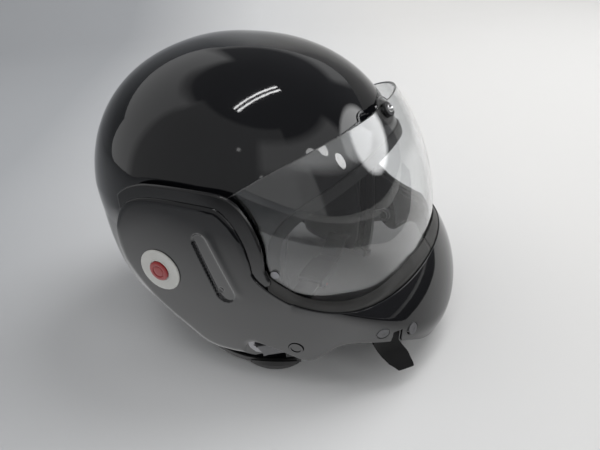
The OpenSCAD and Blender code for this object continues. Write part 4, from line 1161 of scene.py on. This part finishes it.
def stage_surface():
    """Table that rises in a cove behind the helmet. The profile is in metres."""
    profile = [(-STAGE_REACH, 0.0), (0.0, 0.0), (COVE_AT, 0.0)]
    for a in np.radians(np.arange(6, 91, 6)):
        profile.append((COVE_AT + COVE_R * math.sin(a), COVE_R - COVE_R * math.cos(a)))
    profile.append((COVE_AT + COVE_R, WALL_TOP))
    c, s = math.cos(STAGE_TURN), math.sin(STAGE_TURN)
    along, across = np.array([c, s]), np.array([-s, c])
    V = []
    for side in (-STAGE_REACH, STAGE_REACH):
        for d, z in profile:
            x, y = along * d + across * side
            V.append((x / MM, y / MM, z / MM - TABLE_DROP))
    n = len(profile)
    return V, [(i, i + 1, n + i + 1, n + i) for i in range(n - 1)]


def add_stage():
    """Pale table with painted shade that makes it darker to one side, and a painted reflection glow near the
    arm that only mirrored rays see.
    """
    m, t, b = new_material("floor_pale")
    v = object_coords(t)
    split = add(t, "ShaderNodeSeparateXYZ")
    t.links.new(object_coords(t, (0.474, -0.881, 1)), split.inputs[0])
    x, y = split.outputs["X"], split.outputs["Y"]
    grain = to_range(t, noise(t, v, 3.0, 2), -0.02, 0.02)
    # Painted shade: the table's base colour runs darker to one side, where less light falls, with a faint
    # random grain on top.
    painted_shade_and_grain = calc(t, "ADD", to_range(t, calc(t, "ADD", x, y), 0, 1, -0.45, 0.35), grain)
    painted_shade_tones = [(0.0, (0.36, 0.37, 0.385)), (0.5, (0.62, 0.625, 0.63)), (1.0, (0.66, 0.655, 0.645))]
    t.links.new(ramp(t, painted_shade_and_grain, painted_shade_tones), b.inputs["Base Color"])
    # Painted reflection: the table glows for mirrored rays only, near the arm, to brighten what the arm
    # reflects.
    ray = add(t, "ShaderNodeLightPath").outputs
    painted_reflection_glow = calc(t, "SUBTRACT", ray["Is Glossy Ray"], ray["Is Transmission Ray"], clamp=True)
    for way, *sizes in ((x, 0.1, 1.0, -0.2, -0.1), (x, 1.0, 0.0, -0.065, -0.02),
                        (y, 0.0, 1.0, 0.29, 0.13), (y, 0.0, 1.0, -0.36, -0.22)):
        painted_reflection_glow = calc(t, "MULTIPLY", painted_reflection_glow, to_range(t, way, *sizes))
    put(b, Roughness=0.8, Specular_IOR_Level=0.15, Emission_Color=(1, 1, 1, 1))
    t.links.new(painted_reflection_glow, b.inputs["Emission Strength"])
    bump(t, b, noise(t, v, 400, 2), 0.05, 0.0003)
    V, F = stage_surface()
    make("floor", V, F, material=m)


def area(name, at, aim, size, power, size_y=None, turn=0.0, glossy=True):
    data = bpy.data.lights.new(name, "AREA")
    data.energy = power
    data.shape = "RECTANGLE" if size_y else "DISK"
    data.size = size
    data.size_y = size_y or size
    o = bpy.data.objects.new(name, data)
    d = Vector(aim) - Vector(at)
    o.matrix_world = (Matrix.Translation(at) @ d.to_track_quat("-Z", "Y").to_matrix().to_4x4()
                      @ Matrix.Rotation(turn, 4, "Z"))
    o.visible_glossy = glossy
    o.visible_transmission = False
    bpy.context.scene.collection.objects.link(o)


def toward(az, el, distance):
    """Point in a direction from the helmet, by azimuth from the front and elevation."""
    a, e = math.radians(az), math.radians(el)
    return (distance * math.sin(a) * math.cos(e), -distance * math.cos(a) * math.cos(e),
            0.15 + distance * math.sin(e))


def patch(tree, direction, az, half_az, el, half_el, soft, oval=False):
    """Mask of a soft-edged block or oval of directions, by azimuth from the front and elevation."""
    turn = add(tree, "ShaderNodeVectorRotate", rotation_type="Z_AXIS")
    put(turn, Angle=-math.radians(az))
    tree.links.new(direction, turn.inputs["Vector"])
    split = add(tree, "ShaderNodeSeparateXYZ")
    tree.links.new(turn.outputs[0], split.inputs[0])
    around = calc(tree, "ARCTAN2", split.outputs["X"], calc(tree, "MULTIPLY", split.outputs["Y"], -1))
    rise = calc(tree, "SUBTRACT", calc(tree, "ARCSINE", split.outputs["Z"]), math.radians(el))
    parts = []
    for angle, half in ((around, half_az), (rise, half_el)):
        if oval:
            share = calc(tree, "DIVIDE", angle, math.radians(half))
            parts.append(calc(tree, "MULTIPLY", share, share))
        else:
            ends = math.radians(half - soft), math.radians(half + soft)
            parts.append(to_range(tree, calc(tree, "ABSOLUTE", angle), 1, 0, *ends))
    if oval:
        return to_range(tree, calc(tree, "ADD", *parts), 1, 0, 1 - soft / half_el, 1 + soft / half_el)
    return calc(tree, "MULTIPLY", *parts)


def mixed(tree, factor, first, second):
    """Mix of two colours, the first a socket or numbers, the second numbers."""
    mix = add(tree, "ShaderNodeMix", data_type="RGBA")
    tree.links.new(factor, mix.inputs["Factor"])
    if isinstance(first, tuple):
        mix.inputs[6].default_value = (*first, 1)
    else:
        tree.links.new(first, mix.inputs[6])
    mix.inputs[7].default_value = (*second, 1)
    return mix.outputs[2]


def add_world():
    """Dim room with grey and pale walls and one bright oval, and a plain backdrop for the camera."""
    w = bpy.data.worlds.new("studio")
    bpy.context.scene.world = w
    w.use_nodes = True
    t = w.node_tree
    direction = add(t, "ShaderNodeTexCoord").outputs["Generated"]
    colour = (0.15, 0.15, 0.155)
    for value, *block in ((0.40, -98, 54, 25, 32, 1.5), (0.85, 172, 38, 12, 40, 3), (0.8, 118, 44, 0, 34, 3),
                          (0.9, -25, 48, 34, 12, 4), (3.8, 36, 23, 20, 14, 3, True)):
        colour = mixed(t, patch(t, direction, *block), colour, (value, value * 1.005, value * 1.01))
    seen = add(t, "ShaderNodeLightPath").outputs["Is Camera Ray"]
    t.links.new(mixed(t, seen, colour, (0.66, 0.67, 0.68)), t.nodes["Background"].inputs["Color"])


def card(name, V, F, material_name, grey, unseen_by):
    """Matt card that takes no part in the listed kinds of ray."""
    m, _, b = new_material(material_name)
    put(b, Base_Color=(grey, grey, grey, 1), Roughness=1.0)
    o = make(name, V, F, material=m)
    for kind in unseen_by:
        setattr(o, "visible_" + kind, False)


def add_flag():
    """Painted dark reflection: a dark card round the front of the table that only reflections see, so
    reflections of the table there come out dark.
    """
    inner = [(-700, 300), (-600, 0), (-560, -190), (-480, -320), (-368, -440), (-129, -520), (30, -440),
             (150, -400), (280, -400), (480, -480), (900, -700)]
    V = [(x, y, 1.0) for x, y in inner] + [(3 * x, 3 * y, 1.0) for x, y in inner]
    n = len(inner)
    card("flag", V, [(i, n + i, n + i + 1, i + 1) for i in range(n - 1)], "flag_black", 0.02,
         ("camera", "diffuse", "transmission", "volume_scatter", "shadow"))


def add_shade():
    """Painted shadow: a dark card on the table under the helmet, where hardly any light gets in. Only the
    visor shows it.
    """
    V = [(25 + 230 * math.cos(a), 185 * math.sin(a), 0.6) for a in np.radians(np.arange(0, 360, 10))]
    card("shade", V, [tuple(range(len(V)))], "shade_grey", 0.13,
         ("camera", "diffuse", "glossy", "volume_scatter", "shadow"))


def add_lights():
    area("key", (1.15, -0.55, 1.7), (0.1, 0, 0.1), 1.4, 26, glossy=False)
    area("fill", (-0.6, 1.2, 2.2), (0, 0, 0), 2.0, 8, glossy=False)
    middle = np.array([-0.28, 0.02, 2.4])
    way = math.atan2(-0.68, 1.43)
    for k in (-0.5, 0.5):
        at = middle + 0.13 * k * np.array([-math.sin(way), math.cos(way), 0])
        area("tube", tuple(at), (at[0], at[1], 0), 1.5, 4.2, 0.05, way)
    for az, el, size, power in ((-23, 33, 0.34, 1.5), (-11, 25, 0.34, 2.0), (-90, 37, 0.12, 0.08),
                                (-72, 19, 0.12, 0.08)):
        area("lamp", toward(az, el, 2.4), (0, 0, 0.15), size, power)


bpy.context.scene.view_settings.view_transform = "Standard"
add_stage()
add_world()
add_flag()
add_shade()
add_lights()
